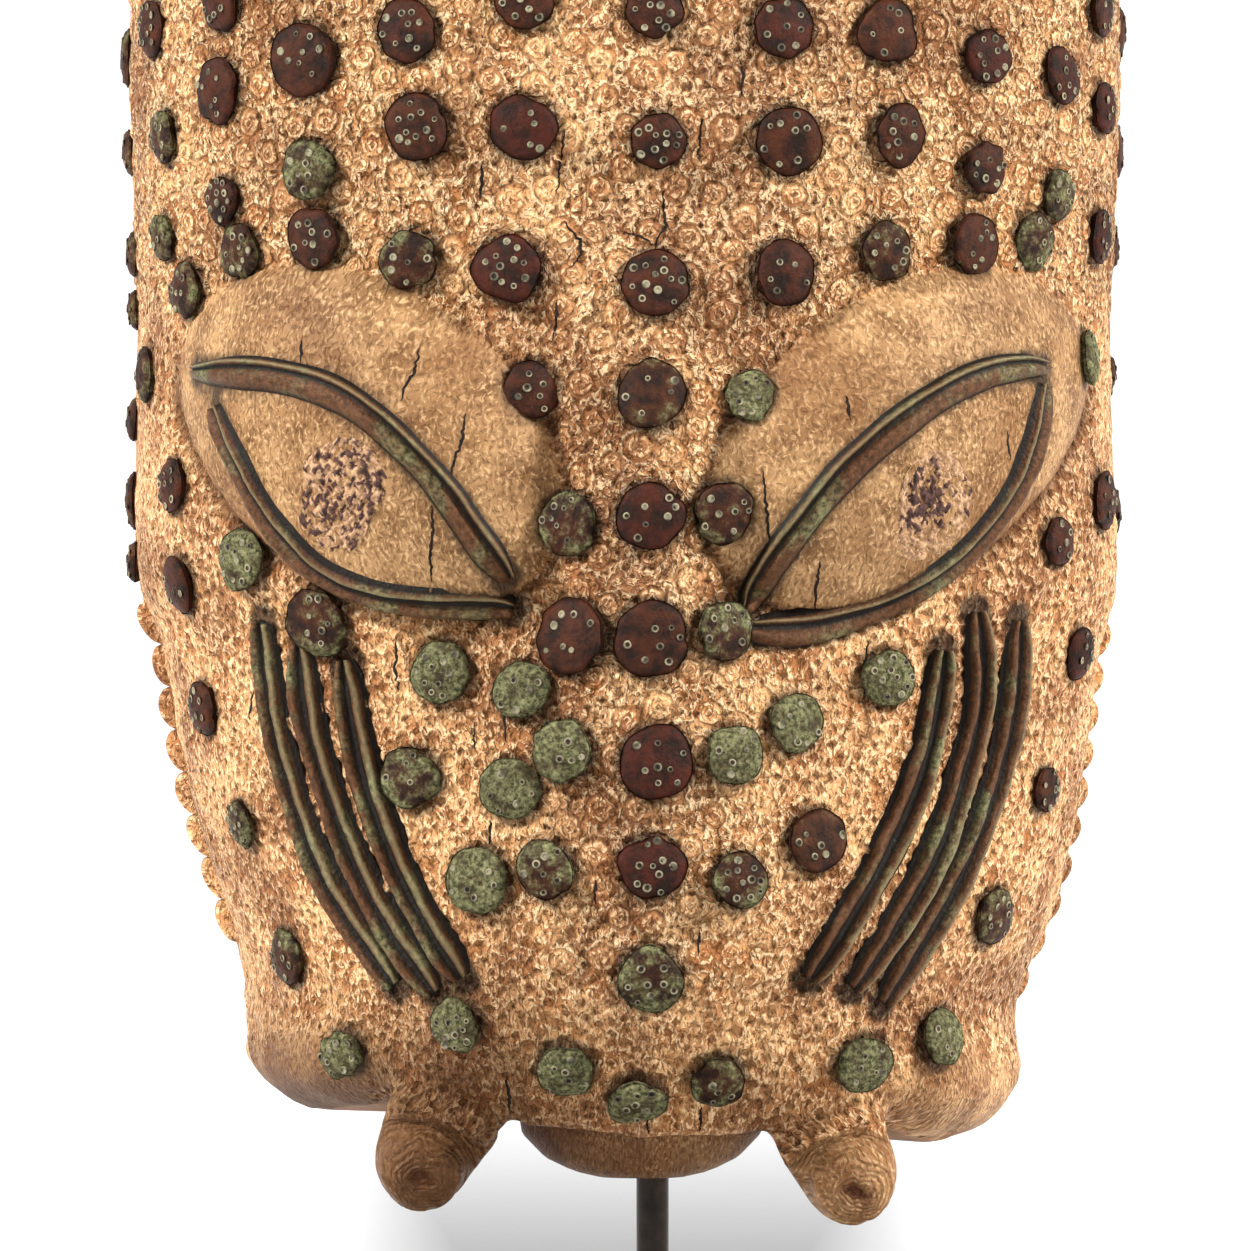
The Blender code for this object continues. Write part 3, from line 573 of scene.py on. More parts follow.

# What the ivory's material needs to know at each point.
# Painted shade: the chin under the lip and the creases round the eye domes are darkened as shade, and the
# lower left of the muzzle is made darker as well.
grime = 0.6 * is_chin + 0.9 * crease + 0.8 * ease(row, 940, 1100) * front * ease(column, 650, 450)
SKIN = {"place": np.stack([along, up, np.zeros(count)], axis=1), "calm": smooth_part, "punched": punched,
        "inside": inside, "growth": growth, "ring": ring, "pit": pit, "grime": grime}
for name, values in SKIN.items():
    vertex_values(head.data, name, values)


def linear(hex_colour):
    """An sRGB hex colour as linear red, green, blue and alpha."""
    shares = [int(hex_colour[i:i + 2], 16) / 255 for i in (1, 3, 5)]
    return [s / 12.92 if s <= 0.04045 else ((s + 0.055) / 1.055) ** 2.4 for s in shares] + [1.0]


def socket_called(sockets, key):
    """A socket by its number, its name or its identifier."""
    if isinstance(key, int):
        return sockets[key]
    return next(s for s in sockets if key in (s.identifier, s.name.replace(" ", "_")))


def add(tree, kind, *values, out=0, stops=(), **settings):
    """Adds a node and hands back one of its outputs. Values fill its inputs in order. Settings are its own
    properties in small letters, or inputs by name: a socket to join, a number or a hex colour."""
    node = tree.nodes.new("ShaderNode" + kind)
    inputs = dict(enumerate(values))
    for key, value in settings.items():
        if key[0].islower():
            setattr(node, key, value)
        else:
            inputs[key] = value
    if stops:
        band = node.color_ramp.elements
        while len(band) < len(stops):
            band.new(0.5)
        for element, (place, value) in zip(band, stops):
            element.position, element.color = place, (value, value, value, 1)
    for key, value in inputs.items():
        socket = socket_called(node.inputs, key)
        if isinstance(value, bpy.types.NodeSocket):
            tree.links.new(value, socket)
        else:
            socket.default_value = linear(value) if isinstance(value, str) else value
    return socket_called(node.outputs, out) if len(node.outputs) else None


def weighed(tree, start, *parts):
    """Adds parts to a start, each the product of its factors: patterns, values on the skin, numbers."""
    for product, *others, last in parts:
        for factor in others:
            product = add(tree, "Math", product, factor, operation="MULTIPLY")
        start = add(tree, "Math", product, last, start, operation="MULTIPLY_ADD")
    return start


def coats(tree, under, *layers):
    """Lays colours one over another: where each lies, its colour, and any stops that spread it."""
    for cover, tint, *stops in layers:
        if stops:
            cover = add(tree, "ValToRGB", cover, stops=stops)
        under = add(tree, "Mix", cover, data_type="RGBA", A_Color=under, B_Color=tint, out="Result_Color")
    return under


def painted_values(tree, *names):
    """The numbers that the mesh carries under these names."""
    return [add(tree, "Attribute", attribute_name=name, out="Fac") for name in names]


def cut_profile(tree, far, reach, *stops):
    """The height, from minus one to one, that a tool leaves at each share of its reach."""
    share = weighed(tree, 0.0, (far, 1 / reach))
    raised = add(tree, "ValToRGB", share, stops=[(at, 0.5 + 0.5 * rise) for at, rise in stops])
    return weighed(tree, -1.0, (raised, 2.0))


def new_material(name):
    made = bpy.data.materials.new(name)
    made.use_nodes = True
    made.node_tree.nodes.clear()
    return made, made.node_tree


def give_surface(tree, coloured, height, strength, deep, **finish):
    """Ends a material: its colour, its relief that is this deep at full strength, and its finish."""
    bump = add(tree, "Bump", Height=height, Strength=strength, Distance=deep)
    shader = add(tree, "BsdfPrincipled", Base_Color=coloured, Normal=bump, **finish)
    add(tree, "OutputMaterial", Surface=shader)


def ivory_material():
    """Aged elephant ivory, carved and punched by hand: hollows hold dirt and painted shade, high places are
    worn pale and painted lighter.
    """
    made, tree = new_material("aged_carved_ivory")
    place = add(tree, "Attribute", attribute_name="place", out="Vector")
    calm, punched, inside, growth = painted_values(tree, "calm", "punched", "inside", "growth")
    ring, pit, grime, painted_shadow = painted_values(tree, "ring", "pit", "grime", "painted_shadow")

    # Patterns on the skin, by their sizes in millimetres: a sway of 1.6 bends the finer ones, which are
    # fine pits, grain and scratches. Clouds of 6 and stains of 22 tint it.
    sway = add(tree, "TexNoise", Vector=place, Scale=1 / 1.6, Detail=2.0, noise_dimensions="2D")
    swing = (1.3, 1.3, 0.0)
    swayed = add(tree, "VectorMath", sway.node.outputs["Color"], swing, place, operation="MULTIPLY_ADD")
    fine, grain, scratch = (
        add(tree, "TexNoise", Scale=1.0, Detail=detail, Roughness=roughness, noise_dimensions="2D",
            Vector=add(tree, "VectorMath", swayed, (1 / wide, 1 / high, 1.0), operation="MULTIPLY"))
        for wide, high, detail, roughness in (
            (1.15, 1.45, 2.0, 0.5), (0.50, 0.85, 3.0, 0.6), (1.2, 8.0, 2.0, 0.5))
    )
    clouds, stains = (
        add(tree, "TexNoise", Vector=place, Scale=1 / size, Detail=5.0, Roughness=0.6, noise_dimensions="2D")
        for size in (6.0, 22.0)
    )

    # Ring-dots about 3.4 mm across: a centre hole, a small ring and an outer groove with a raised edge.
    # Pits about 2 mm across have a raised edge too, and finer ones lie between.
    wobble = weighed(tree, -0.5, (sway, 1.0))
    ring_at = weighed(tree, ring, (wobble, 0.9))
    ring_height = cut_profile(
        tree, ring_at, RING_REACH, (0, -0.6), (0.05, -0.5), (0.10, 0.2), (0.14, 0.15), (0.175, -0.35),
        (0.22, 0.15), (0.30, 0.15), (0.36, -0.75), (0.40, -0.65), (0.47, 0.45), (0.56, 0.0))
    pit_height = cut_profile(
        tree, weighed(tree, pit, (wobble, 0.7)), PIT_REACH, (0, -1.0), (0.25, -0.85), (0.5, -0.15),
        (0.6, 0.35), (0.75, 0.1), (0.9, 0.0))
    fine_height = cut_profile(
        tree, fine, 1.0, (0.28, -1.0), (0.40, -0.8), (0.47, 0.2), (0.51, 0.8), (0.57, 0.1), (0.64, -0.5),
        (0.72, 0.3))
    near_ring = weighed(tree, 0.0, (ring_at, 1 / RING_REACH))
    near_ring = add(tree, "ValToRGB", near_ring, stops=((0.40, 1.0), (0.50, 0.0)))
    rough = weighed(tree, 1.0, (calm, -1.0))
    rough = weighed(tree, rough, (rough, punched, near_ring, -0.65))
    busy = weighed(tree, 0.0, (rough, weighed(tree, 0.38, (punched, 0.62))))
    speck = add(tree, "ValToRGB", grain, stops=((0.34, 1.0), (0.425, 0.0)))
    years = weighed(tree, 0.0, (growth, 2 * math.pi / 0.75), (wobble, 5.0))
    years = add(tree, "Math", years, operation="SINE")
    near_tip = add(tree, "Math", growth, 9.0, operation="LESS_THAN")
    height = weighed(
        tree, 0.0, (ring_height, punched, 0.50), (pit_height, rough, 0.50), (fine_height, busy, 0.27),
        (grain, busy, 0.15), (grain, 0.20), (speck, rough, -0.16), (speck, -0.08), (years, near_tip, 0.14))

    # Dirt fills what lies low and painted shade darkens it further, wear bleaches what stands high and a
    # painted highlight lightens it further, and the smooth parts have a calmer tint.
    lows = weighed(
        tree, 0.7, (pit_height, rough, -0.55), (fine_height, busy, -0.66), (ring_height, punched, -0.65),
        (grain, -1.4))
    dirt = add(tree, "ValToRGB", lows, stops=((0.08, 0.0), (0.40, 0.45), (0.9, 1.0)))
    dirt = weighed(tree, 0.0, (dirt, weighed(tree, -0.45, (clouds, 1.3), (stains, 0.8))))
    calm_tint = coats(
        tree, "#6E4F2F", (clouds, "#A27D54", (0.30, 0.0), (0.70, 1.0)),
        (grain, "#CBA678", (0.55, 0.0), (0.68, 0.7)), (stains, "#6A4220", (0.46, 0.0), (0.64, 0.6)),
        (scratch, "#573517", (0.560, 0.0), (0.575, 0.55), (0.590, 0.0)))
    specked = weighed(tree, 0.0, (speck, weighed(tree, 0.40, (busy, 0.40))))
    year_tint = weighed(tree, 0.0, (near_tip, add(tree, "ValToRGB", years, stops=((0.2, 0.0), (0.9, 0.65)))))
    heart = add(tree, "ValToRGB", weighed(tree, 0.0, (growth, 1 / 5.0)), stops=((0.15, 0.85), (0.50, 0.0)))
    # In these layers the dark in low places is dirt and painted shade, the pale on high places is wear and a
    # painted highlight, the dark brown layer near the end is painted shade on the chin and in the creases
    # with a darkening at the lower left, and the last, near black layer is a painted shadow round studs and
    # strips.
    coloured = coats(
        tree, "#AC7040", (clouds, "#E2AB73", (0.36, 0.0), (0.62, 1.0)),
        (stains, "#96603A", (0.42, 0.0), (0.66, 0.8)),
        (add(tree, "Math", dirt, 0.94, operation="MINIMUM"), "#3B210D"),
        (weighed(tree, 0.0, (lows, -1.0)), "#F6D0A0", (0.05, 0.0), (0.32, 0.9)),
        (stains, "#754826", (0.46, 0.0), (0.64, 0.42)), (weighed(tree, 0.0, (calm, 0.88)), calm_tint),
        (specked, "#3C210C"), (year_tint, "#8A5A38"), (weighed(tree, 0.0, (near_tip, heart)), "#4E2312"),
        (weighed(tree, 0.0, (grime, weighed(tree, 0.5, (clouds, 0.8)))), "#4C2C14"),
        (inside, coats(tree, "#7A5238", (clouds, "#A77C56", (0.3, 0.0), (0.7, 1.0)))), (painted_shadow, "#150C05"))
    give_surface(tree, coloured, height, 1.0, 1.0 * MM, Roughness=0.55, Specular_IOR_Level=0.16)
    return made


head.data.materials.clear()
head.data.materials.append(ivory_material())
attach(head, "root")
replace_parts(head, "ivory_mask")

# Copper studs.
# Discs cast or cut from copper, 7 to 10 mm across, each with punched rings that hold a pale fill. The
# upper ones are worn red-brown, the lower ones green with patina. They sit a hair off the ivory.
STUD_THICKNESS = 2.1 * MM
STUD_SIDES = 44
DOT_RADIUS = 0.52 * MM
DOT_SIDES = 14
# A punched dot from its heart to its rim: millimetres above the stud's skin, and share of the radius.
DOT_PROFILE = ((0.035, 0.10), (0.035, 0.42), (0.13, 0.56), (0.15, 0.78), (0.06, 1.0), (-0.15, 1.15))

# Column, row, size across and tone of each: r red-brown, b brown, m brown and green, g green, d dark.
STUDS = {
    "b4": (312, 170, 58, "m"), "b5": (419, 127, 64, "b"), "b6": (524, 128, 64, "r"),
    "b7": (658, 141, 54, "b"), "b8": (787, 141, 66, "b"), "b9": (897, 135, 56, "b"),
    "b10": (980, 168, 51, "b"), "c6": (317, 238, 60, "b"), "c7": (411, 260, 58, "m"),
    "c8": (509, 269, 66, "r"), "c9": (655, 284, 66, "b"), "c10": (783, 273, 62, "b"),
    "c11": (883, 251, 55, "m"), "c12": (971, 244, 60, "b"), "d3": (531, 391, 56, "b"),
    "d4": (651, 396, 67, "d"), "d5": (750, 398, 50, "g"), "e4": (571, 524, 62, "m"),
    "e5": (650, 516, 66, "r"), "e6": (721, 512, 60, "m"), "f2": (246, 559, 61, "g"),
    "f3": (320, 622, 66, "m"), "f4": (574, 637, 74, "b"), "f5": (651, 639, 74, "b"),
    "f6": (721, 632, 60, "m"), "g2": (442, 672, 60, "g"), "g3": (524, 691, 57, "g"),
    "g4": (563, 751, 60, "g"), "g5": (656, 762, 73, "r"), "g6": (732, 755, 58, "g"),
    "g7": (793, 723, 57, "g"), "g8": (885, 678, 56, "g"), "g10": (413, 778, 60, "m"),
    "g11": (513, 789, 60, "g"), "h2": (480, 880, 66, "g"), "h3": (547, 870, 57, "m"),
    "h4": (652, 867, 63, "r"), "h5": (738, 880, 55, "m"), "h6": (814, 841, 62, "d"),
    "i1": (650, 978, 64, "m"), "i2": (345, 1053, 48, "g"), "i3": (457, 1023, 51, "g"),
    "i4": (566, 1067, 56, "g"), "i5": (636, 1098, 54, "g"), "i6": (717, 1078, 54, "m"),
    "i7": (861, 1062, 60, "g"), "i8": (938, 1037, 57, "g"),
}
SIDE_STUDS = (
    (223, 8, 50, "b"), (155, 29, 57, "b"), (305, 60, 72, "b"), (408, 31, 61, "b"), (524, 2, 56, "b"),
    (654, 10, 56, "b"), (783, 28, 60, "r"), (886, 32, 62, "b"), (985, 57, 54, "r"), (1059, 76, 55, "r"),
    (1099, 12, 54, "b"), (220, 91, 62, "b"), (166, 137, 56, "m"), (1056, 195, 50, "m"),
    (1101, 108, 52, "r"), (225, 200, 47, "b"), (166, 238, 48, "m"), (242, 252, 54, "m"),
    (188, 290, 56, "m"), (1032, 241, 56, "m"), (1097, 236, 54, "r"), (149, 375, 52, "m"),
    (1086, 357, 55, "g"), (175, 486, 54, "b"), (1056, 542, 48, "b"), (1101, 501, 58, "b"),
    (181, 584, 58, "b"), (1076, 653, 50, "r"), (206, 708, 54, "b"), (1043, 789, 46, "b"),
    (244, 823, 48, "m"), (992, 916, 58, "m"), (290, 956, 58, "m"),
)
EDGE_STUDS = (
    (-1, 58, 60), (-1, 153, 46), (-1, 253, 46), (-1, 310, 42), (-1, 418, 43), (-1, 500, 56), (-1, 562, 40),
    (1, 36, 55), (1, 150, 62), (1, 242, 52), (1, 376, 43), (1, 509, 48),
)
CROWN_STUD_ROWS = ((-75, (225, 340, 450, 560, 655, 750, 850, 960, 1050)), (-165, (430, 655, 870)))
CROWN_STUD_SIZE = 58
TONES = {"r": 0.02, "b": 0.16, "d": 0.36, "m": 0.52, "g": 0.82}
REDNESS = {"r": 1.0, "b": 0.55, "d": 0.15, "m": 0.35, "g": 0.1}


def stud_body(place, out, radius, draw):
    """A worn disc with punched ring-dots: points, faces and each face's material (copper, crust, dirt)."""
    waves = [(n, draw.normal(0, 0.042 / (n - 1) ** 0.6), draw.uniform(0, 6.28)) for n in (2, 3, 4, 5, 7, 9)]
    nick, nick_size = draw.uniform(0, 6.28), draw.choice([-0.11, -0.05, 0.07])

    def outline(turn):
        bite = math.exp(-(math.remainder(turn - nick, 2 * math.pi) / 0.22) ** 2)
        return 0.985 + sum(size * math.cos(n * turn + phase) for n, size, phase in waves) + nick_size * bite

    side, up = square_to(out)
    lean_x, lean_y = float(draw.normal(0, 0.045)), float(draw.normal(0, 0.045))

    def top(share):
        worn_edge = 0.60 * MM * max(0, (share - 0.84) / 0.16) ** 2
        return STUD_THICKNESS * (0.62 + 0.38 * (1 - share ** 2)) - worn_edge

    shares = (0.03, 0.2, 0.36, 0.5, 0.62, 0.72, 0.80, 0.86, 0.91, 0.95, 0.98, 1.0)
    levels = [(share, top(share)) for share in shares]
    under = ((1.005, 0.50), (0.99, 0.30), (0.93, 0.12), (0.85, 0))
    levels += [(share, low * STUD_THICKNESS) for share, low in under]
    rings = []
    for share, height in levels:
        ring = []
        for k in range(STUD_SIDES):
            turn = 2 * math.pi * k / STUD_SIDES
            reach = radius * share * (outline(turn) if share > 0.3 else 1)
            dent = draw.normal(0, 0.030) * MM * (share > 0.1)
            across, rise_up = reach * math.cos(turn), reach * math.sin(turn)
            rise = float(height + dent + lean_x * across + lean_y * rise_up)
            ring.append(place + float(across) * side + float(rise_up) * up + rise * out)
        rings.append(ring)
    points, faces = loft(rings)
    kinds = [0] * len(faces)
    spots = []
    wanted = int(np.clip(round(draw.normal(7.5, 2)), 4, 12))
    for _ in range(300):
        turn, share = draw.uniform(0, 2 * math.pi), math.sqrt(draw.uniform(0, 1)) * 0.80
        spot = np.array([share * math.cos(turn), share * math.sin(turn)]) * radius
        if len(spots) < wanted and all(np.linalg.norm(spot - other) > 2.5 * DOT_RADIUS for other in spots):
            spots.append(spot)
    for across, rise_up in spots:
        size = DOT_RADIUS * draw.uniform(0.75, 1.2)
        share = float(np.hypot(across, rise_up)) / radius
        base = place + float(across) * side + float(rise_up) * up
        base = base + (top(share) + lean_x * float(across) + lean_y * float(rise_up)) * out
        open_dot = draw.uniform() < 0.6
        profile = [(rise * MM, reach) for rise, reach in DOT_PROFILE]
        dot_points, dot_faces = loft(rings_about(base, out, size, profile, DOT_SIDES))
        heart = 2 if open_dot else 1
        kinds += [kind for kind in (heart, heart, 1, 1, 0) for _ in range(DOT_SIDES)] + [heart, 0]
        faces += [tuple(i + len(points) for i in face) for face in dot_faces]
        points = points + dot_points
    return points, faces, kinds


def stud_object(name, spots, draw):
    """An object of one stud or of several. Each spot is a place, a direction, a radius and a tone."""
    points, faces, kinds, green, red = [], [], [], [], []
    for place, out, radius, tone in spots:
        body_points, body_faces, body_kinds = stud_body(place, out, radius, draw)
        faces += [tuple(i + len(points) for i in face) for face in body_faces]
        points += body_points
        kinds += body_kinds
        away = np.array([(Vector(p) - place).length for p in body_points]) / radius
        lower = np.array([-(Vector(p) - place).z for p in body_points]) / radius
        amount = TONES[tone] + draw.uniform(-0.08, 0.08) + 0.30 * (away - 0.7)
        amount = amount + draw.uniform(-0.15, 0.15) * lower
        green += list(np.clip(amount, 0, 1))
        red += [np.clip(REDNESS[tone] + draw.uniform(-0.12, 0.12), 0, 1)] * len(body_points)
    obj = new_object(name, points, faces)
    obj.data.polygons.foreach_set("material_index", kinds)
    vertex_values(obj.data, "green", green)
    vertex_values(obj.data, "red", red)
    for surface in (copper, crust, dirt):
        obj.data.materials.append(surface)
    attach(obj, "root")
    return obj


def copper_material():
    """Old copper with a hammered skin: red-brown where hands wore it, green and dark where it lay."""
    made, tree = new_material("patinated_copper")
    place = add(tree, "TexCoord", out="Object")
    green, red = painted_values(tree, "green", "red")
    blots = add(tree, "TexNoise", Vector=place, Scale=1 / (2.63 * MM), Detail=5.0, Roughness=0.65)
    grit = add(tree, "TexNoise", Vector=place, Scale=1 / (0.667 * MM), Detail=4.0, Roughness=0.7)
    brown = coats(tree, "#472714", (red, "#401A0F"))
    brown = coats(tree, "#1E110A", (blots, brown, (0.38, 0.0), (0.6, 1.0)))
    patina = coats(
        tree, "#33331D", (grit, "#86835C", (0.40, 0.0), (0.66, 1.0)),
        (blots, "#3A2C1C", (0.35, 0.75), (0.55, 0.0)))
    cover = weighed(tree, -1.1, (blots, 1.2), (green, 1.0))
    cover = add(tree, "ValToRGB", cover, stops=((0.0, 0.0), (0.22, 1.0)))
    rough, metal = weighed(tree, 0.52, (cover, 0.25)), weighed(tree, 0.10, (cover, -0.08))
    give_surface(tree, coats(tree, brown, (cover, patina)), weighed(tree, blots, (grit, 0.6)), 1.0, 0.4 * MM,
                 Roughness=rough, Metallic=metal, Specular_IOR_Level=0.12)
    return made


def fill_material(name, low, high):
    """Crust in the punched dots: pale lime and verdigris on the rims, dirt in the middles."""
    made, tree = new_material(name)
    place = add(tree, "TexCoord", out="Object")
    blots = add(tree, "TexNoise", Vector=place, Scale=1 / (1.43 * MM), Detail=3.0)
    coloured = coats(tree, low, (blots, high, (0.4, 0.0), (0.6, 1.0)))
    give_surface(tree, coloured, blots, 0.6, 0.3 * MM, Roughness=0.8, Specular_IOR_Level=0.2)
    return made


copper = copper_material()
crust = fill_material("pale_lime_crust", "#464033", "#8C856B")
dirt = fill_material("packed_dirt", "#1C140D", "#3C2C1E")
draw = np.random.default_rng(11)
stud_spots = [(*on_face(c, r), size, tone) for c, r, size, tone in STUDS.values()]
side_spots = [(*on_face(c, r), size, tone) for c, r, size, tone in SIDE_STUDS]
for row_at, columns in CROWN_STUD_ROWS:
    side_spots += [(*on_face(c, row_at), CROWN_STUD_SIZE, "b") for c in columns]
for side, row_at, size in EDGE_STUDS:
    height = row_height(row_at)
    place, _out = surface_frame(side, height)
    place = Vector((place.x, RIM_Y + (0.25 * SIDE_DEPTH if side < 0 else -1.5 * MM), TIP_Z + height))
    side_spots.append((place, Vector((side, 0, 0)), size, "d"))
all_spots = stud_spots + side_spots
radii = [size / 2 * FACE_WIDTH / 2 / PHOTO_HALF_WIDTH for _place, _out, size, _tone in all_spots]
lifts = [0.25] * len(stud_spots) + [-0.3] * (len(side_spots) - len(EDGE_STUDS)) + [-0.6] * len(EDGE_STUDS)
made_spots = [(place + lift * MM * out, out, radius, tone)
              for (place, out, _size, tone), radius, lift in zip(all_spots, radii, lifts)]
for name, spot in zip(STUDS, made_spots):
    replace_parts(stud_object(f"copper_stud_{name}", [spot], draw), f"stud_{name}")
stud_object("copper_side_studs", made_spots[len(STUDS):], draw)

# Painted shadow: the ivory is darkened close round each stud.
painted_shadow = np.zeros(count)
for place, _out, radius, _tone in made_spots:
    for _place, n, far in lookup.find_range(place, radius + 1.6 * MM):
        painted_shadow[n] = max(painted_shadow[n], 0.75 * float(ease(radius + 1.3 * MM - far, 0, 1.4 * MM)))

# Copper strips.
# Narrow channels bent from sheet copper, two rails with a groove between, let into the ivory round the
# eyes and down the cheeks. Brown on the rails, green and black in the grooves and along their edges, the
# black a painted shade, and a pale painted highlight along one rail.
EYE_STRIPS = {
    "eye_strip_left_upper": (
        (197, 373), (218, 374), (237, 372), (261, 374), (296, 380), (332, 391), (360, 408), (391, 434),
        (414, 458), (438, 482), (457, 510), (473, 536), (490, 557), (506, 578),
    ),
    "eye_strip_left_lower": (
        (216, 408), (225, 439), (242, 472), (261, 510), (284, 541), (313, 569), (343, 588), (379, 597),
        (414, 604), (450, 607), (485, 605), (513, 610),
    ),
    "eye_strip_right_upper": (
        (1043, 368), (1011, 366), (978, 376), (938, 396), (902, 423), (865, 453), (832, 486), (806, 519),
        (776, 559), (753, 595), (744, 612),
    ),
    "eye_strip_right_lower": (
        (1044, 385), (1041, 416), (1031, 456), (1015, 492), (992, 526), (962, 559), (918, 589),
        (872, 612), (832, 625), (792, 635), (753, 633), (745, 628),
    ),
}
CHEEK_STRIPS = {
    "cheek_strip_left_outer": (
        (263, 622), (264, 640), (272, 700), (285, 760), (300, 815), (320, 865), (347, 915), (378, 960),
        (396, 985),
    ),
    "cheek_strip_left_middle": (
        (301, 644), (305, 700), (317, 750), (335, 808), (357, 865), (385, 920), (415, 965), (436, 993),
    ),
    "cheek_strip_left_inner": (
        (345, 660), (352, 712), (363, 772), (383, 830), (407, 888), (437, 940), (462, 978),
    ),
    "cheek_strip_right_inner": (
        (942, 650), (940, 680), (928, 745), (910, 800), (888, 848), (862, 895), (835, 940), (810, 978),
    ),
    "cheek_strip_right_middle": (
        (976, 612), (980, 650), (979, 700), (968, 750), (953, 805), (933, 858), (905, 910), (873, 960),
        (852, 988),
    ),
    "cheek_strip_right_outer": (
        (1018, 620), (1015, 665), (1010, 710), (1001, 762), (985, 812), (965, 860), (938, 915),
        (908, 960), (882, 1003),
    ),
}
EYE_STRIP_WIDTH = 3.7 * MM
CHEEK_STRIP_WIDTH = 4.1 * MM

# Sections of the strips: shares of the width across, millimetres out, and how dark with painted shade.
UPPER_SECTION = (
    (-0.68, -0.9, 1), (-0.65, 0.06, 1), (-0.56, 0.1, 1), (-0.52, 1.2, 0.1), (-0.44, 1.65, 0),
    (-0.36, 1.4, 0.1), (-0.30, 0.9, 0.9), (-0.22, 0.8, 1), (-0.12, 1.15, 0.3), (0.04, 1.45, 0),
    (0.24, 1.4, 0), (0.40, 1.0, 0.05), (0.50, 0.3, 0.5), (0.58, 0.06, 1), (0.62, -0.9, 1),
)
LOWER_SECTION = (
    (-0.84, -0.9, 1), (-0.80, 0.04, 1), (-0.58, 0.06, 1), (-0.52, 0.9, 0.1), (-0.44, 1.3, 0),
    (-0.36, 1.1, 0.2), (-0.28, 0.65, 1), (-0.14, 0.6, 1), (-0.04, 1.0, 0.3), (0.12, 1.5, 0),
    (0.30, 1.5, 0), (0.44, 1.0, 0.05), (0.52, 0.2, 0.7), (0.60, 0.03, 1), (0.64, -0.9, 1),
)
CHEEK_SECTION = (
    (-0.72, -0.9, 1), (-0.69, 0.05, 1), (-0.57, 0.1, 1), (-0.53, 1.0, 0.2), (-0.46, 1.6, 0),
    (-0.30, 1.65, 0), (-0.20, 1.2, 0.3), (-0.15, 0.45, 1), (0.0, 0.35, 1), (0.13, 0.45, 1),
    (0.18, 1.1, 0.4), (0.28, 1.5, 0), (0.44, 1.55, 0), (0.50, 1.1, 0.15), (0.54, 0.15, 1),
    (0.66, 0.05, 1), (0.69, -0.9, 1),
)


def strip_stations(places, count):
    """Even stations along a strip's centre line, each a place with its side and outward directions."""
    line = np.array(places, float)
    runs = np.concatenate([[0], np.cumsum(np.hypot(*np.diff(line, axis=0).T))])
    ats = np.linspace(0, runs[-1], count)
    spread = runs[-1] / 14
    steps = np.linspace(-spread, spread, 5)
    stations = []
    for at in ats:
        near_end = min(at, runs[-1] - at, spread) / spread
        c = np.mean([np.interp(at + s * near_end, runs, line[:, 0]) for s in steps])
        r = np.mean([np.interp(at + s * near_end, runs, line[:, 1]) for s in steps])
        stations.append(on_face(c, r))
    frames = []
    for i, (place, out) in enumerate(stations):
        run = stations[min(i + 1, count - 1)][0] - stations[max(i - 1, 0)][0]
        frames.append((place, run.cross(out).normalized(), out))
    return frames


def strip_object(name, frames, width, section_shape, flip, draw):
    """A bent channel along its stations, with its ends drawn in and its rails a little uneven."""
    last = len(frames) - 1
    phase = draw.uniform(0, 6.28, 6)
    rings, dark, edge = [], [], []
    for i, (place, side, out) in enumerate(frames):
        share = i / last
        taper = 0.50 + 0.50 * math.sin(math.pi * min(0.5, min(share, 1 - share) * 4.5)) ** 0.8
        waver = 1 + 0.06 * math.sin(9 * share + phase[0]) + 0.03 * math.sin(31 * share + phase[1])
        left = 1 + 0.13 * math.sin(14 * share + phase[2]) + 0.05 * math.sin(53 * share + phase[4])
        right = 1 + 0.13 * math.sin(17 * share + phase[3]) + 0.05 * math.sin(61 * share + phase[5])
        ring = []
        for across, rise, shade in section_shape:
            lift = rise * (left if across < 0 else right) * (0.55 + 0.45 * taper) if rise > 0.2 else rise
            lift += draw.normal(0, 0.03)
            ring.append(place + flip * across * width * taper * waver * side + lift * MM * out)
            dark.append(shade)
            # Painted highlight: a pale line along the top of one rail.
            edge.append(float(abs(across + 0.44) < 0.03))
        rings.append(ring)
    obj = new_object(name, *loft(rings))
    vertex_values(obj.data, "dark", dark)
    vertex_values(obj.data, "edge", edge)
    obj.data.materials.append(channel_copper)
    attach(obj, "root")
    return obj


def strip_material():
    """Sheet copper, bent and let in: worn brown rails, verdigris beside them, painted shade in the groove.
    """
    made, tree = new_material("channelled_copper")
    place = add(tree, "TexCoord", out="Object")
    dark, edge = painted_values(tree, "dark", "edge")
    blots = add(tree, "TexNoise", Vector=place, Scale=1 / (9.09 * MM), Detail=6.0, Roughness=0.65)
    grit = add(tree, "TexNoise", Vector=place, Scale=1 / (0.769 * MM), Detail=4.0, Roughness=0.7)
    patina = coats(tree, "#31331C", (grit, "#84825A", (0.38, 0.0), (0.66, 1.0)))
    # Painted highlight: a pale line along one rail. Painted shade: near black in the groove and along the
    # edges.
    coloured = coats(
        tree, "#38220F", (grit, "#644026", (0.35, 0.0), (0.65, 1.0)),
        (blots, patina, (0.50, 0.0), (0.64, 0.85)),
        (weighed(tree, 0.0, (edge, 0.4)), "#9A9068"), (dark, "#120D08", (0.15, 0.0), (0.85, 0.96)))
    give_surface(tree, coloured, weighed(tree, blots, (grit, 1.0)), 0.9, 0.3 * MM,
                 Roughness=0.5, Metallic=0.25, Specular_IOR_Level=0.2)
    return made


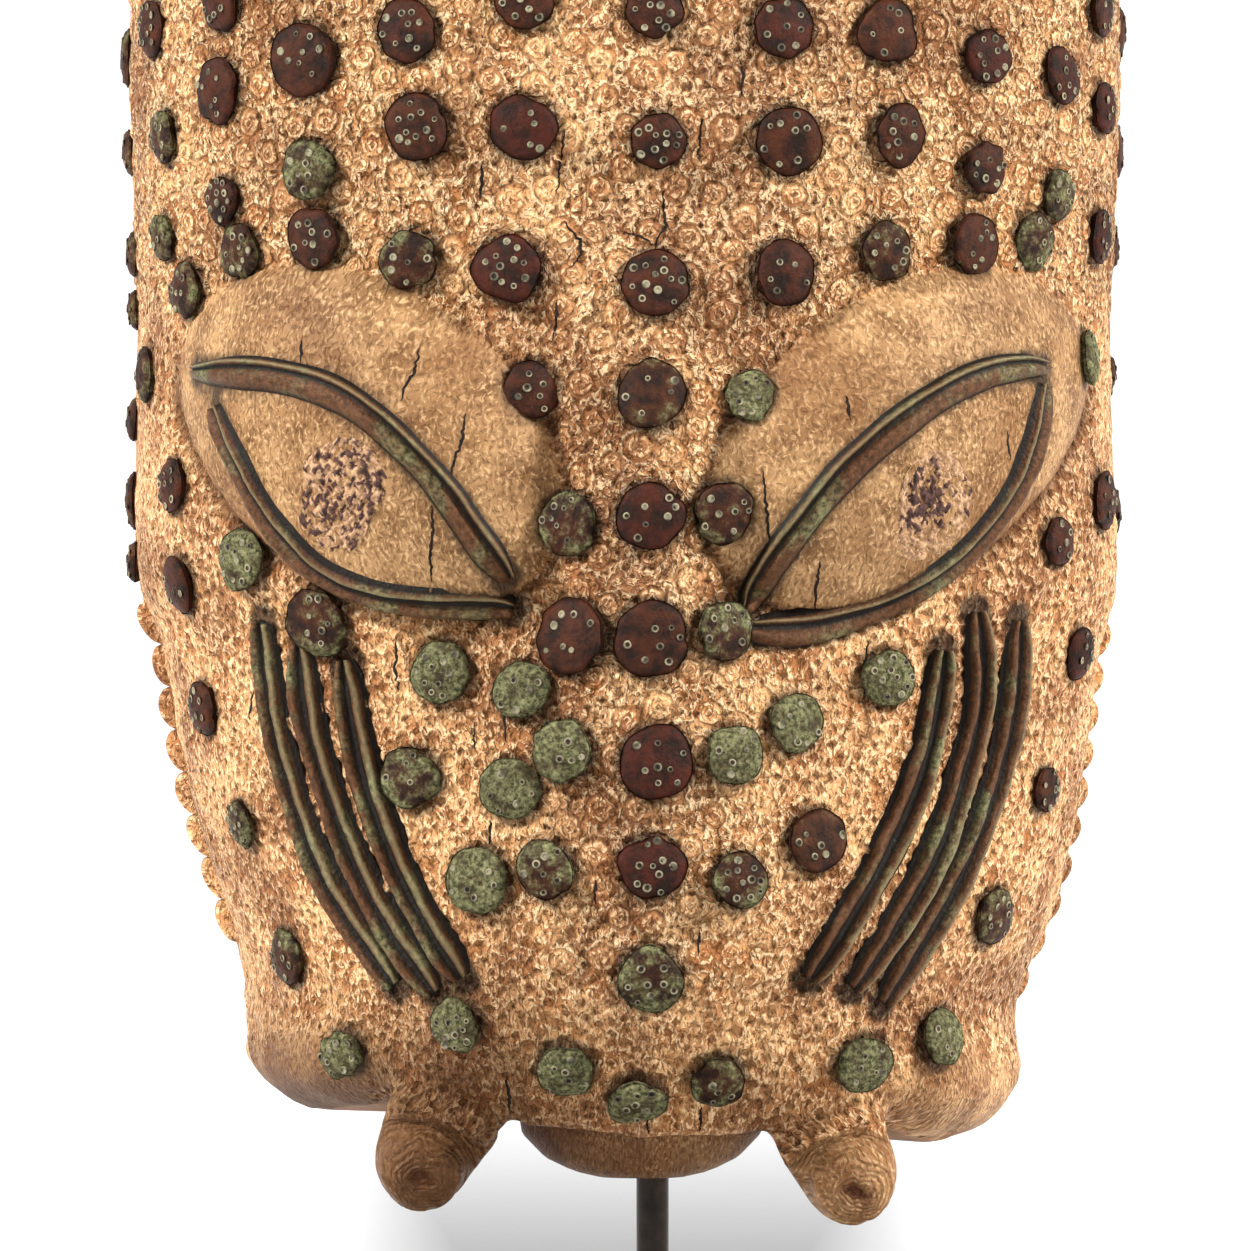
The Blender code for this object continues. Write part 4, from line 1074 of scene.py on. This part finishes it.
channel_copper = strip_material()
for strips, width in ((EYE_STRIPS, EYE_STRIP_WIDTH), (CHEEK_STRIPS, CHEEK_STRIP_WIDTH)):
    for name, places in strips.items():
        shape = UPPER_SECTION if "upper" in name else LOWER_SECTION if "lower" in name else CHEEK_SECTION
        flip = -1 if "eye" in name and "right" in name else 1
        frames = strip_stations(places, 64)
        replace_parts(strip_object("copper_" + name, frames, width, shape, flip, draw), name)
        # Painted shadow: the ivory is darkened close along each strip.
        for place, _side, _out in frames:
            for _place, n, far in lookup.find_range(place, 0.5 * width + 1.3 * MM):
                painted_shadow[n] = max(painted_shadow[n], 0.85 * float(ease(0.5 * width + 1.1 * MM - far, 0, 0.9 * MM)))
vertex_values(head.data, "painted_shadow", painted_shadow)

# The head's flat parts need fewer faces than its relief, so they are thinned out last of all.
HEAD_TRIANGLES = 197000
head.data.calc_loop_triangles()
thinned = head.modifiers.new("fewer_flat_faces", "DECIMATE")
thinned.ratio = HEAD_TRIANGLES / len(head.data.loop_triangles)
with_modifiers_applied(head)

# Cracks in the ivory.
# Old drying cracks that run with the tusk's grain, thin at both ends, filled with black dirt.
CRACKS = (
    ((431, 505), (433, 530), (430, 556), (431, 583)), ((466, 413), (462, 440), (455, 458), (450, 477)),
    ((420, 347), (414, 372), (404, 388), (402, 401)), ((302, 340), (301, 352), (300, 364)),
    ((763, 470), (766, 500), (768, 528), (771, 550)), ((564, 129), (563, 150), (559, 172), (557, 194)),
    ((482, 162), (482, 182), (479, 201)), ((663, 190), (664, 208), (666, 225), (656, 240), (655, 251)),
    ((564, 220), (572, 232), (580, 240), (582, 252), (571, 268)), ((507, 1075), (508, 1098), (510, 1120)),
    ((700, 1105), (701, 1120), (700, 1135)), ((648, 1118), (648, 1136)),
    ((557, 300), (556, 322), (552, 340)), ((702, 118), (700, 138), (699, 160)),
    ((740, 60), (744, 78), (741, 96)), ((396, 640), (395, 662), (397, 690)),
    ((506, 700), (504, 722), (506, 742)), ((474, 722), (473, 750)), ((596, 880), (594, 905)),
    ((490, 845), (491, 820)), ((820, 560), (816, 590), (815, 612)), ((868, 640), (866, 668), (864, 700)),
    ((624, 232), (640, 236), (652, 243)), ((1010, 460), (1008, 430)), ((250, 690), (249, 720)),
    ((850, 420), (846, 395)), ((700, 930), (699, 955)),
)
CRACK_WIDTH = 0.42 * MM


def crack_object():
    """Thin ribbons that lie on the carved skin along each crack."""
    tree = BVHTree.FromObject(head, bpy.context.evaluated_depsgraph_get())
    points, faces = [], []
    for places in CRACKS:
        line = np.array(places, float)
        runs = np.concatenate([[0], np.cumsum(np.hypot(*np.diff(line, axis=0).T))])
        steps = max(8, int(runs[-1] / 3))
        spots = []
        for at in np.linspace(0, runs[-1], steps):
            c = np.interp(at, runs, line[:, 0]) + draw.normal(0, 0.7)
            place, out = on_face(c, np.interp(at, runs, line[:, 1]))
            hit = tree.ray_cast(place + 4 * MM * out, -out)
            spots.append((hit[0] if hit[0] is not None else place, out))
        first = len(points)
        for i, (place, out) in enumerate(spots):
            run = spots[min(i + 1, steps - 1)][0] - spots[max(i - 1, 0)][0]
            side = run.cross(out).normalized()
            swell = 0.12 + abs(math.sin(math.pi * i / (steps - 1))) ** 0.6
            wide = float(CRACK_WIDTH / 2 * swell * draw.uniform(0.7, 1.2))
            points += [place + share * wide * side + lift * MM * out
                       for share, lift in ((-1, 0.02), (0, 0.10), (1, 0.02))]
            if i:
                low, high = first + 3 * (i - 1), first + 3 * i
                faces += [(low, low + 1, high + 1, high), (low + 1, low + 2, high + 2, high + 1)]
    return new_object("crack_dirt", points, faces)


cracks = crack_object()
cracks.data.materials.append(fill_material("black_crack_dirt", "#0F0905", "#241810"))
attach(cracks, "root")

# Residue in the pupils.
# A thin crumbling crust of dark resin left in the middle of each eye, with pale grains at its edge.
PUPILS = {"left": (341, 493, 44, 56, 0.45, 0.50), "right": (933, 506, 39, 54, 0.95, 0.05)}


def residue_object(name, column, row, dark_middle, dark_edge, draw):
    """A thin broken crust that follows the eye's surface and dips under it between its crumbs."""
    turns, steps, crumbs = 150, 56, 640
    phase = draw.uniform(0, 6.28, 12)
    middles, sizes = draw.uniform(-1, 1, (crumbs, 2)), draw.uniform(0.03, 0.095, crumbs)
    rises = draw.uniform(0.2, 1.0, crumbs)
    outwards = ease(np.hypot(middles[:, 0] + 0.1, middles[:, 1] + 0.15), 0.25, 0.85)
    is_pale = draw.uniform(0, 1, crumbs) > dark_middle + (dark_edge - dark_middle) * outwards
    points, pale, faces = [], [], []
    for i in range(steps + 1):
        share = max(i, 0.05) / steps
        for k in range(turns):
            turn = 2 * math.pi * k / turns
            edge = 1 + sum(0.10 / (n + 1) * math.sin((n + 2) * turn + phase[n]) for n in range(6))
            u, v = share * edge * math.cos(turn), share * edge * math.sin(turn)
            at, normal = on_patch(column, row, u, v)
            bent_u, bent_v = u + 0.03 * math.sin(27 * v + phase[6]), v + 0.03 * math.sin(31 * u + phase[7])
            gap = np.hypot(middles[:, 0] - bent_u, middles[:, 1] - bent_v) / sizes
            crumb = np.clip(1 - gap ** 2, 0, 1) ** 0.5 * rises
            best = int(np.argmax(crumb))
            lift = -0.16 + 0.62 * float(crumb[best]) * (1 - 0.35 * share ** 3)
            points.append(at + lift * MM * normal)
            pale.append(float(is_pale[best]) if crumb[best] > 0 else 0.8)
    for i in range(steps):
        for k in range(turns):
            a, b, after = i * turns, (i + 1) * turns, (k + 1) % turns
            faces.append((a + k, b + k, b + after, a + after))
    obj = new_object(name, points, faces)
    vertex_values(obj.data, "pale", pale)
    return obj


def on_patch(column, row, u, v):
    """A place in a patch of the face, bent through its nine corner and middle places."""
    at, normal = Vector((0, 0, 0)), Vector((0, 0, 0))
    wide = (0.5 * (1 - u) * -u, 1 - u * u, 0.5 * (1 + u) * u)
    high = (0.5 * (1 - v) * -v, 1 - v * v, 0.5 * (1 + v) * v)
    for i in range(3):
        for j in range(3):
            spot, out = patch_corners[(column, row)][i][j]
            at += wide[i] * high[j] * spot
            normal += wide[i] * high[j] * out
    return at, normal.normalized()


patch_corners = {}
for column_at, row_at, half_wide, half_high, _dark_middle, _dark_edge in PUPILS.values():
    patch_corners[(column_at, row_at)] = [
        [on_face(column_at + i * half_wide, row_at + j * half_high) for j in (-1, 0, 1)] for i in (-1, 0, 1)
    ]


def residue_material():
    """Dark purple-brown resin in crumbs, with paler crumbs of ivory dust between."""
    made, tree = new_material("crumbled_resin")
    place = add(tree, "TexCoord", out="Object")
    grit = add(tree, "TexNoise", Vector=place, Scale=1 / (0.909 * MM), Detail=4.0, Roughness=0.7)
    pale = painted_values(tree, "pale")[0]
    dark_crumb, pale_crumb = (
        coats(tree, low, (grit, high, (0.4, 0.0), (0.62, 1.0)))
        for low, high in (("#2C1A16", "#5E4038"), ("#846246", "#C89F78"))
    )
    coloured = coats(tree, dark_crumb, (pale, pale_crumb))
    give_surface(tree, coloured, grit, 1.0, 0.4 * MM, Roughness=0.7, Specular_IOR_Level=0.2)
    return made


resin = residue_material()
for side_name, (column_at, row_at, _wide, _high, dark_middle, dark_edge) in PUPILS.items():
    residue = residue_object(f"pupil_residue_{side_name}", column_at, row_at, dark_middle, dark_edge, draw)
    residue.data.materials.append(resin)
    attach(residue, "root")

# Rod and foot.
# A thin steel rod, browned, goes from a bore in the foot into the chin. The foot is a low steel block
# with eased edges under satin black paint.
rod_low, rod_high = (Vector(corner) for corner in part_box("mount_rod"))
foot_low, foot_high = (Vector(corner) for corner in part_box("mount_foot"))
ROD_SIDES = 40
FOOT_EDGE = 1.5 * MM


def rod_object():
    centre = (rod_low + rod_high) / 2
    radius = (rod_high.x - rod_low.x) / 2
    draw_rod = np.random.default_rng(5)
    rings = []
    for z in np.linspace(rod_low.z, rod_high.z, 70):
        ring = []
        for k in range(ROD_SIDES):
            turn = 2 * math.pi * k / ROD_SIDES
            reach = radius * (1 - 0.012 * draw_rod.uniform(0, 1))
            ring.append((centre.x + reach * math.cos(turn), centre.y + reach * math.sin(turn), z))
        rings.append(ring)
    return new_object("browned_rod", *loft(rings))


def foot_object():
    """The foot's block, with the same small round along its upper, lower and upright edges."""
    lower = [(FOOT_EDGE * (1 - math.sin(a)), foot_low.z + FOOT_EDGE * (1 - math.cos(a)))
             for a in np.radians(np.linspace(0, 90, 5))]
    upper = [(inset, foot_high.z - (z - foot_low.z)) for inset, z in reversed(lower)]
    rings = []
    for inset, z in lower + upper:
        ring = []
        for cx, cy, start in ((1, 1, 0), (-1, 1, 90), (-1, -1, 180), (1, -1, 270)):
            for a in (0, 30, 60, 90):
                angle = math.radians(start + a)
                x = cx * (foot_high.x - FOOT_EDGE) + (FOOT_EDGE - inset) * math.cos(angle)
                y = cy * (foot_high.y - FOOT_EDGE) + (FOOT_EDGE - inset) * math.sin(angle)
                ring.append((x, y, z))
        rings.append(ring)
    return new_object("black_foot", *loft(rings))


def rod_material():
    """Browned steel: a thin dark oxide skin, almost matt, a little warm."""
    made, tree = new_material("browned_steel")
    place = add(tree, "TexCoord", out="Object")
    blots = add(tree, "TexNoise", Vector=place, Scale=1 / (3.85 * MM), Detail=5.0, Roughness=0.65)
    coloured = coats(tree, "#1A1511", (blots, "#352B24", (0.35, 0.0), (0.65, 1.0)))
    give_surface(tree, coloured, blots, 0.4, 0.2 * MM, Roughness=0.45, Metallic=0.7)
    return made


def paint_material():
    """Sprayed satin black paint with a fine orange-peel skin."""
    made, tree = new_material("satin_black_paint")
    place = add(tree, "TexCoord", out="Object")
    peel = add(tree, "TexNoise", Vector=place, Scale=1 / (1.11 * MM), Detail=2.0)
    dust = add(tree, "TexNoise", Vector=place, Scale=1 / (16.7 * MM), Detail=5.0)
    coloured = coats(tree, "#141414", (dust, "#24221F", (0.4, 0.0), (0.8, 1.0)))
    give_surface(tree, coloured, peel, 0.15, 0.2 * MM, Roughness=0.38)
    return made


rod = rod_object()
rod.data.materials.append(rod_material())
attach(rod, "root")
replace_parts(rod, "mount_rod")
foot = foot_object()
foot.data.materials.append(paint_material())
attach(foot, "root")
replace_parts(foot, "mount_foot")

# The room.
# A wide sweep of pale paper under and far behind the mask, in a white room. Small soft boxes stand above
# on the left and on the right, with a weak one in front. Only close to the foot does the paper look grey,
# which is a painted shadow.
SWEEP_FRONT, SWEEP_BACK, SWEEP_HALF, SWEEP_TOP, SWEEP_ROUND = -8.8, 6.4, 12.0, 12.0, 3.2


def sweep_object():
    line = [(SWEEP_FRONT, 0.0), (SWEEP_BACK - SWEEP_ROUND, 0.0)]
    for a in np.radians(np.linspace(5, 90, 18)):
        behind = SWEEP_BACK - SWEEP_ROUND * (1 - math.sin(a))
        line.append((behind, SWEEP_ROUND * (1 - math.cos(a))))
    line.append((SWEEP_BACK, SWEEP_TOP))
    points = [(x, y, z) for y, z in line for x in (-SWEEP_HALF, SWEEP_HALF)]
    faces = [(2 * i, 2 * i + 1, 2 * i + 3, 2 * i + 2) for i in range(len(line) - 1)]
    mesh = bpy.data.meshes.new("paper_sweep")
    mesh.from_pydata(points, [], faces)
    mesh.shade_smooth()
    obj = bpy.data.objects.new("paper_sweep", mesh)
    bpy.context.scene.collection.objects.link(obj)
    return obj


def paper_material():
    """Bright paper, lit from behind as in a photographer's tent, but for a painted shadow: a grey strip
    through the foot that is 8 cm wide, fades out over 5 cm on either side, and ends a metre or two before
    and behind it."""
    made, tree = new_material("white_paper")
    fibre = add(tree, "TexNoise", Scale=40.0, Detail=3.0)
    spot = add(tree, "SeparateXYZ", add(tree, "TexCoord", out="Object")).node.outputs
    aside = weighed(tree, spot["X"], (spot["Y"], math.tan(VIEW_TURN)))
    aside = add(tree, "Math", aside, operation="ABSOLUTE")
    away = weighed(tree, 0.0, (add(tree, "Math", spot["Y"], operation="ABSOLUTE"), 1 / 2.0))
    aside = add(tree, "ValToRGB", aside, stops=((0.04, 0.0), (0.095, 1.0)))
    away = add(tree, "ValToRGB", away, stops=((0.468, 0.0), (0.675, 0.5), (0.917, 1.0)))
    # Painted shadow: the paper glows less in a strip through the foot.
    glow_less_in_painted_shadow = add(tree, "Math", aside, away, operation="MAXIMUM")
    coloured = coats(tree, "#B0B0B0", (fibre, "#B6B6B6"))
    shader = add(tree, "BsdfPrincipled", Base_Color=coloured, Roughness=0.9, Emission_Color="#FFFFFF",
                 Emission_Strength=glow_less_in_painted_shadow)
    add(tree, "OutputMaterial", Surface=shader)
    return made


sweep = sweep_object()
sweep.data.materials.append(paper_material())

look_at = Vector((0.2 * MM, RIM_Y, TIP_Z + LEVEL))
camera_data = bpy.data.cameras.new("camera")
camera = bpy.data.objects.new("camera", camera_data)
bpy.context.scene.collection.objects.link(camera)
camera.location = look_at + VIEW_DISTANCE * Vector((math.sin(VIEW_TURN), -math.cos(VIEW_TURN), 0))
camera.rotation_euler = (look_at - camera.location).to_track_quat("-Z", "Y").to_euler()
camera_data.angle = 2 * math.atan(PHOTO_SIDE / 2 * FACE_WIDTH / 2 / PHOTO_HALF_WIDTH / VIEW_DISTANCE)
camera_data.clip_start = 0.05
bpy.context.scene.camera = camera


def soft_box(name, place, power, size):
    data = bpy.data.lights.new(name, "AREA")
    data.size, data.energy = size, power
    box = bpy.data.objects.new(name, data)
    box.location = place
    box.rotation_euler = (look_at - Vector(place)).to_track_quat("-Z", "Y").to_euler()
    bpy.context.scene.collection.objects.link(box)


soft_box("left_soft_box", (-0.92, -0.38, 0.90), 26.0, 0.18)
soft_box("right_soft_box", (0.95, -0.40, 0.84), 25.5, 0.18)
soft_box("front_soft_box", (-0.15, -1.5, 1.25), 4.0, 0.3)
# The room looks white all round, and gives the mask only a little light.
ROOM_LIGHT = 0.06
world = bpy.data.worlds.new("white_room")
world.use_nodes = True
sky, background = world.node_tree, world.node_tree.nodes["Background"].inputs
background["Color"].default_value = (1.0, 1.0, 1.0, 1.0)
looked_at = add(sky, "LightPath", out="Is_Camera_Ray")
sky.links.new(weighed(sky, ROOM_LIGHT, (looked_at, 1 - ROOM_LIGHT)), background["Strength"])
bpy.context.scene.world = world
bpy.context.scene.view_settings.view_transform = "Standard"
